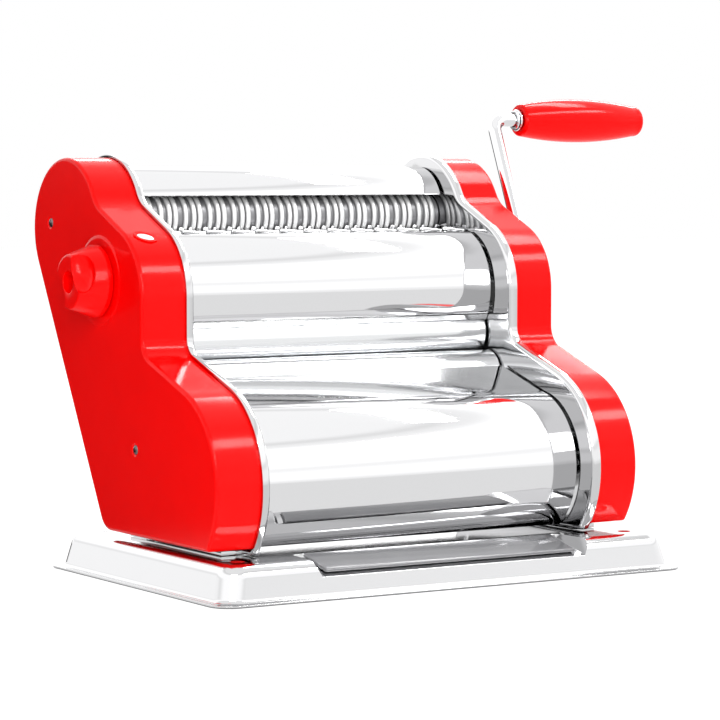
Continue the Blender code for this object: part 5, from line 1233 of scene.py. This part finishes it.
for end_x in (CRANK_START_X, GRIP_BORE_END_X - 0.0012):
    for edge in crank.data.edges:
        edge.select = all(abs(crank.data.vertices[v].co.x - end_x) < 1e-5 for v in edge.vertices)
    bpy.ops.object.mode_set(mode="EDIT")
    bpy.ops.mesh.select_mode(type="EDGE")
    bpy.ops.mesh.edge_face_add()
    bpy.ops.mesh.select_all(action="DESELECT")
    bpy.ops.object.mode_set(mode="OBJECT")
edit_all(crank)
tidy_normals()
use_modifier(crank, "BEVEL", width=0.0006, segments=3, limit_method="ANGLE", angle_limit=radians(60))
half_square = CRANK_SQUARE / 2
square = box("square", (CRANK_STUB_X + 0.0003, -half_square, -half_square),
             (SHAFT_END_X + CRANK_ROD_R, half_square, half_square))
use_modifier(square, "BEVEL", width=0.0004, segments=3, limit_method="ANGLE", angle_limit=radians(60))
square.data.transform(Matrix.Rotation(pi / 2 - CRANK_LEAN, 4, "X"))
cut(crank, square, "UNION")
crank.data.transform(Matrix.Rotation(CRANK_LEAN - pi / 2, 4, "X"))
crank.data.transform(Matrix.Translation((0, *LOWER_AXIS)))
rod_steel = polished_steel("polished_crank_rod", GUARD_STEEL, 0.09, "Z")
finish_piece(crank, rod_steel, "crank", "polished_steel", "crank_rod")

# The barrel grip turns on the rod's end: one red moulding that swells to its middle, with a blind bore.
GRIP_MAX_R = 0.0131
GRIP_INNER_R = 0.0097
GRIP_OUTER_R = 0.0093
GRIP_EDGE = 0.0017
GRIP_END_ROUND = 0.0028
crank_top = polar(LOWER_AXIS, CRANK_ARM, CRANK_LEAN)
grip_bore_r = CRANK_ROD_R + 0.0003


def grip_radius(share):
    """Radius along the barrel, from 0 at its outer end to 1 at the crank."""
    straight = GRIP_OUTER_R + (GRIP_INNER_R - GRIP_OUTER_R) * share
    middle = (GRIP_OUTER_R + GRIP_INNER_R) / 2
    return straight + (GRIP_MAX_R - middle) * 4 * share * (1 - share)


body_end = GRIP_END_X - GRIP_END_ROUND * 1.6
body_start = GRIP_START_X + GRIP_EDGE
grip_profile = [(GRIP_END_X, 0)]
for step in range(11):
    angle = pi / 2 * step / 10
    grip_profile.append((body_end + (GRIP_END_X - body_end) * cos(angle) ** 0.9,
                         GRIP_OUTER_R - GRIP_END_ROUND * (1 - sin(angle)) ** 1.3))
for step in range(1, 41):
    share = step / 40
    grip_profile.append((body_end + (body_start - body_end) * share, grip_radius(share)))
mouth = (GRIP_INNER_R - GRIP_EDGE, grip_bore_r + 0.0024)
grip_profile += [(GRIP_START_X + GRIP_EDGE * (1 - sin(a)), GRIP_INNER_R - GRIP_EDGE * (1 - cos(a)))
                 for a in (pi / 2 * step / 6 for step in range(1, 7))]
grip_profile += [(GRIP_START_X, mouth[1]), (GRIP_START_X + 0.0006, mouth[1] - 0.0005),
                 (GRIP_START_X + 0.0014, mouth[1] - 0.0009), (GRIP_START_X + 0.0016, grip_bore_r),
                 (GRIP_BORE_END_X, grip_bore_r), (GRIP_BORE_END_X, 0)]
grip = turned("grip", grip_profile, crank_top, 96)
finish_piece(grip, red_plastic, "grip", "red_plastic", "crank_grip")

# A chromed collar on the rod stops the grip from sliding inwards. Its rings are turned.
COLLAR_LENGTH = 0.0035
COLLAR_R = 0.0065
collar_start = GRIP_START_X - 0.0003 - COLLAR_LENGTH
collar_end = GRIP_START_X - 0.0003
collar_profile = [(collar_start, grip_bore_r), (collar_start, COLLAR_R * 0.80), (collar_start + 0.0004, COLLAR_R * 0.88),
                  (collar_start + 0.0010, COLLAR_R * 0.88), (collar_start + 0.0011, COLLAR_R * 0.76),
                  (collar_start + 0.0014, COLLAR_R * 0.76), (collar_start + 0.0016, COLLAR_R * 0.95),
                  (collar_start + 0.0021, COLLAR_R), (collar_start + 0.0028, COLLAR_R),
                  (collar_end, COLLAR_R * 0.92), (collar_end, grip_bore_r), (collar_start, grip_bore_r)]
collar = turned("collar", collar_profile, crank_top, 96)
chrome = ground_steel("turned_chrome", "#D8D9DB", 0.06, 8.0)
finish_piece(collar, chrome, "crank", "polished_steel", "grip_collar")

# The parts inside the covers are taken as they are packed: bronze bearings, steel gears, scrapers and shafts, and the
# nylon idler. They get their own materials.
bronze = ground_steel("sintered_bronze", "#B98A55", 0.35, 300.0)
gear_steel = ground_steel("hobbed_gear_steel", "#A9ABAE", 0.32, 300.0)
blade_steel = polished_steel("scraper_spring_steel", GUARD_STEEL, 0.14, "X")
packed_looks = {
    bronze: ("roller_bush_left", "roller_bush_right", "front_cutter_bush_left", "front_cutter_bush_right",
             "rear_cutter_bush_right", "bearing_block_left", "bearing_block_right"),
    gear_steel: ("lower_roller_gear", "upper_roller_gear", "drive_gear", "cutter_gear", "cutter_pair_gear_front",
                 "cutter_pair_gear_rear", "idler_axle", "bearing_post", "block_guide_left", "block_guide_right",
                 "regulator_shaft"),
    white_nylon: ("idler_gear",),
    blade_steel: ("scraper_upper", "scraper_lower"),
}
for look, names in packed_looks.items():
    for name in names:
        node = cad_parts[name]
        node.data.materials.clear()
        node.data.materials.append(look)
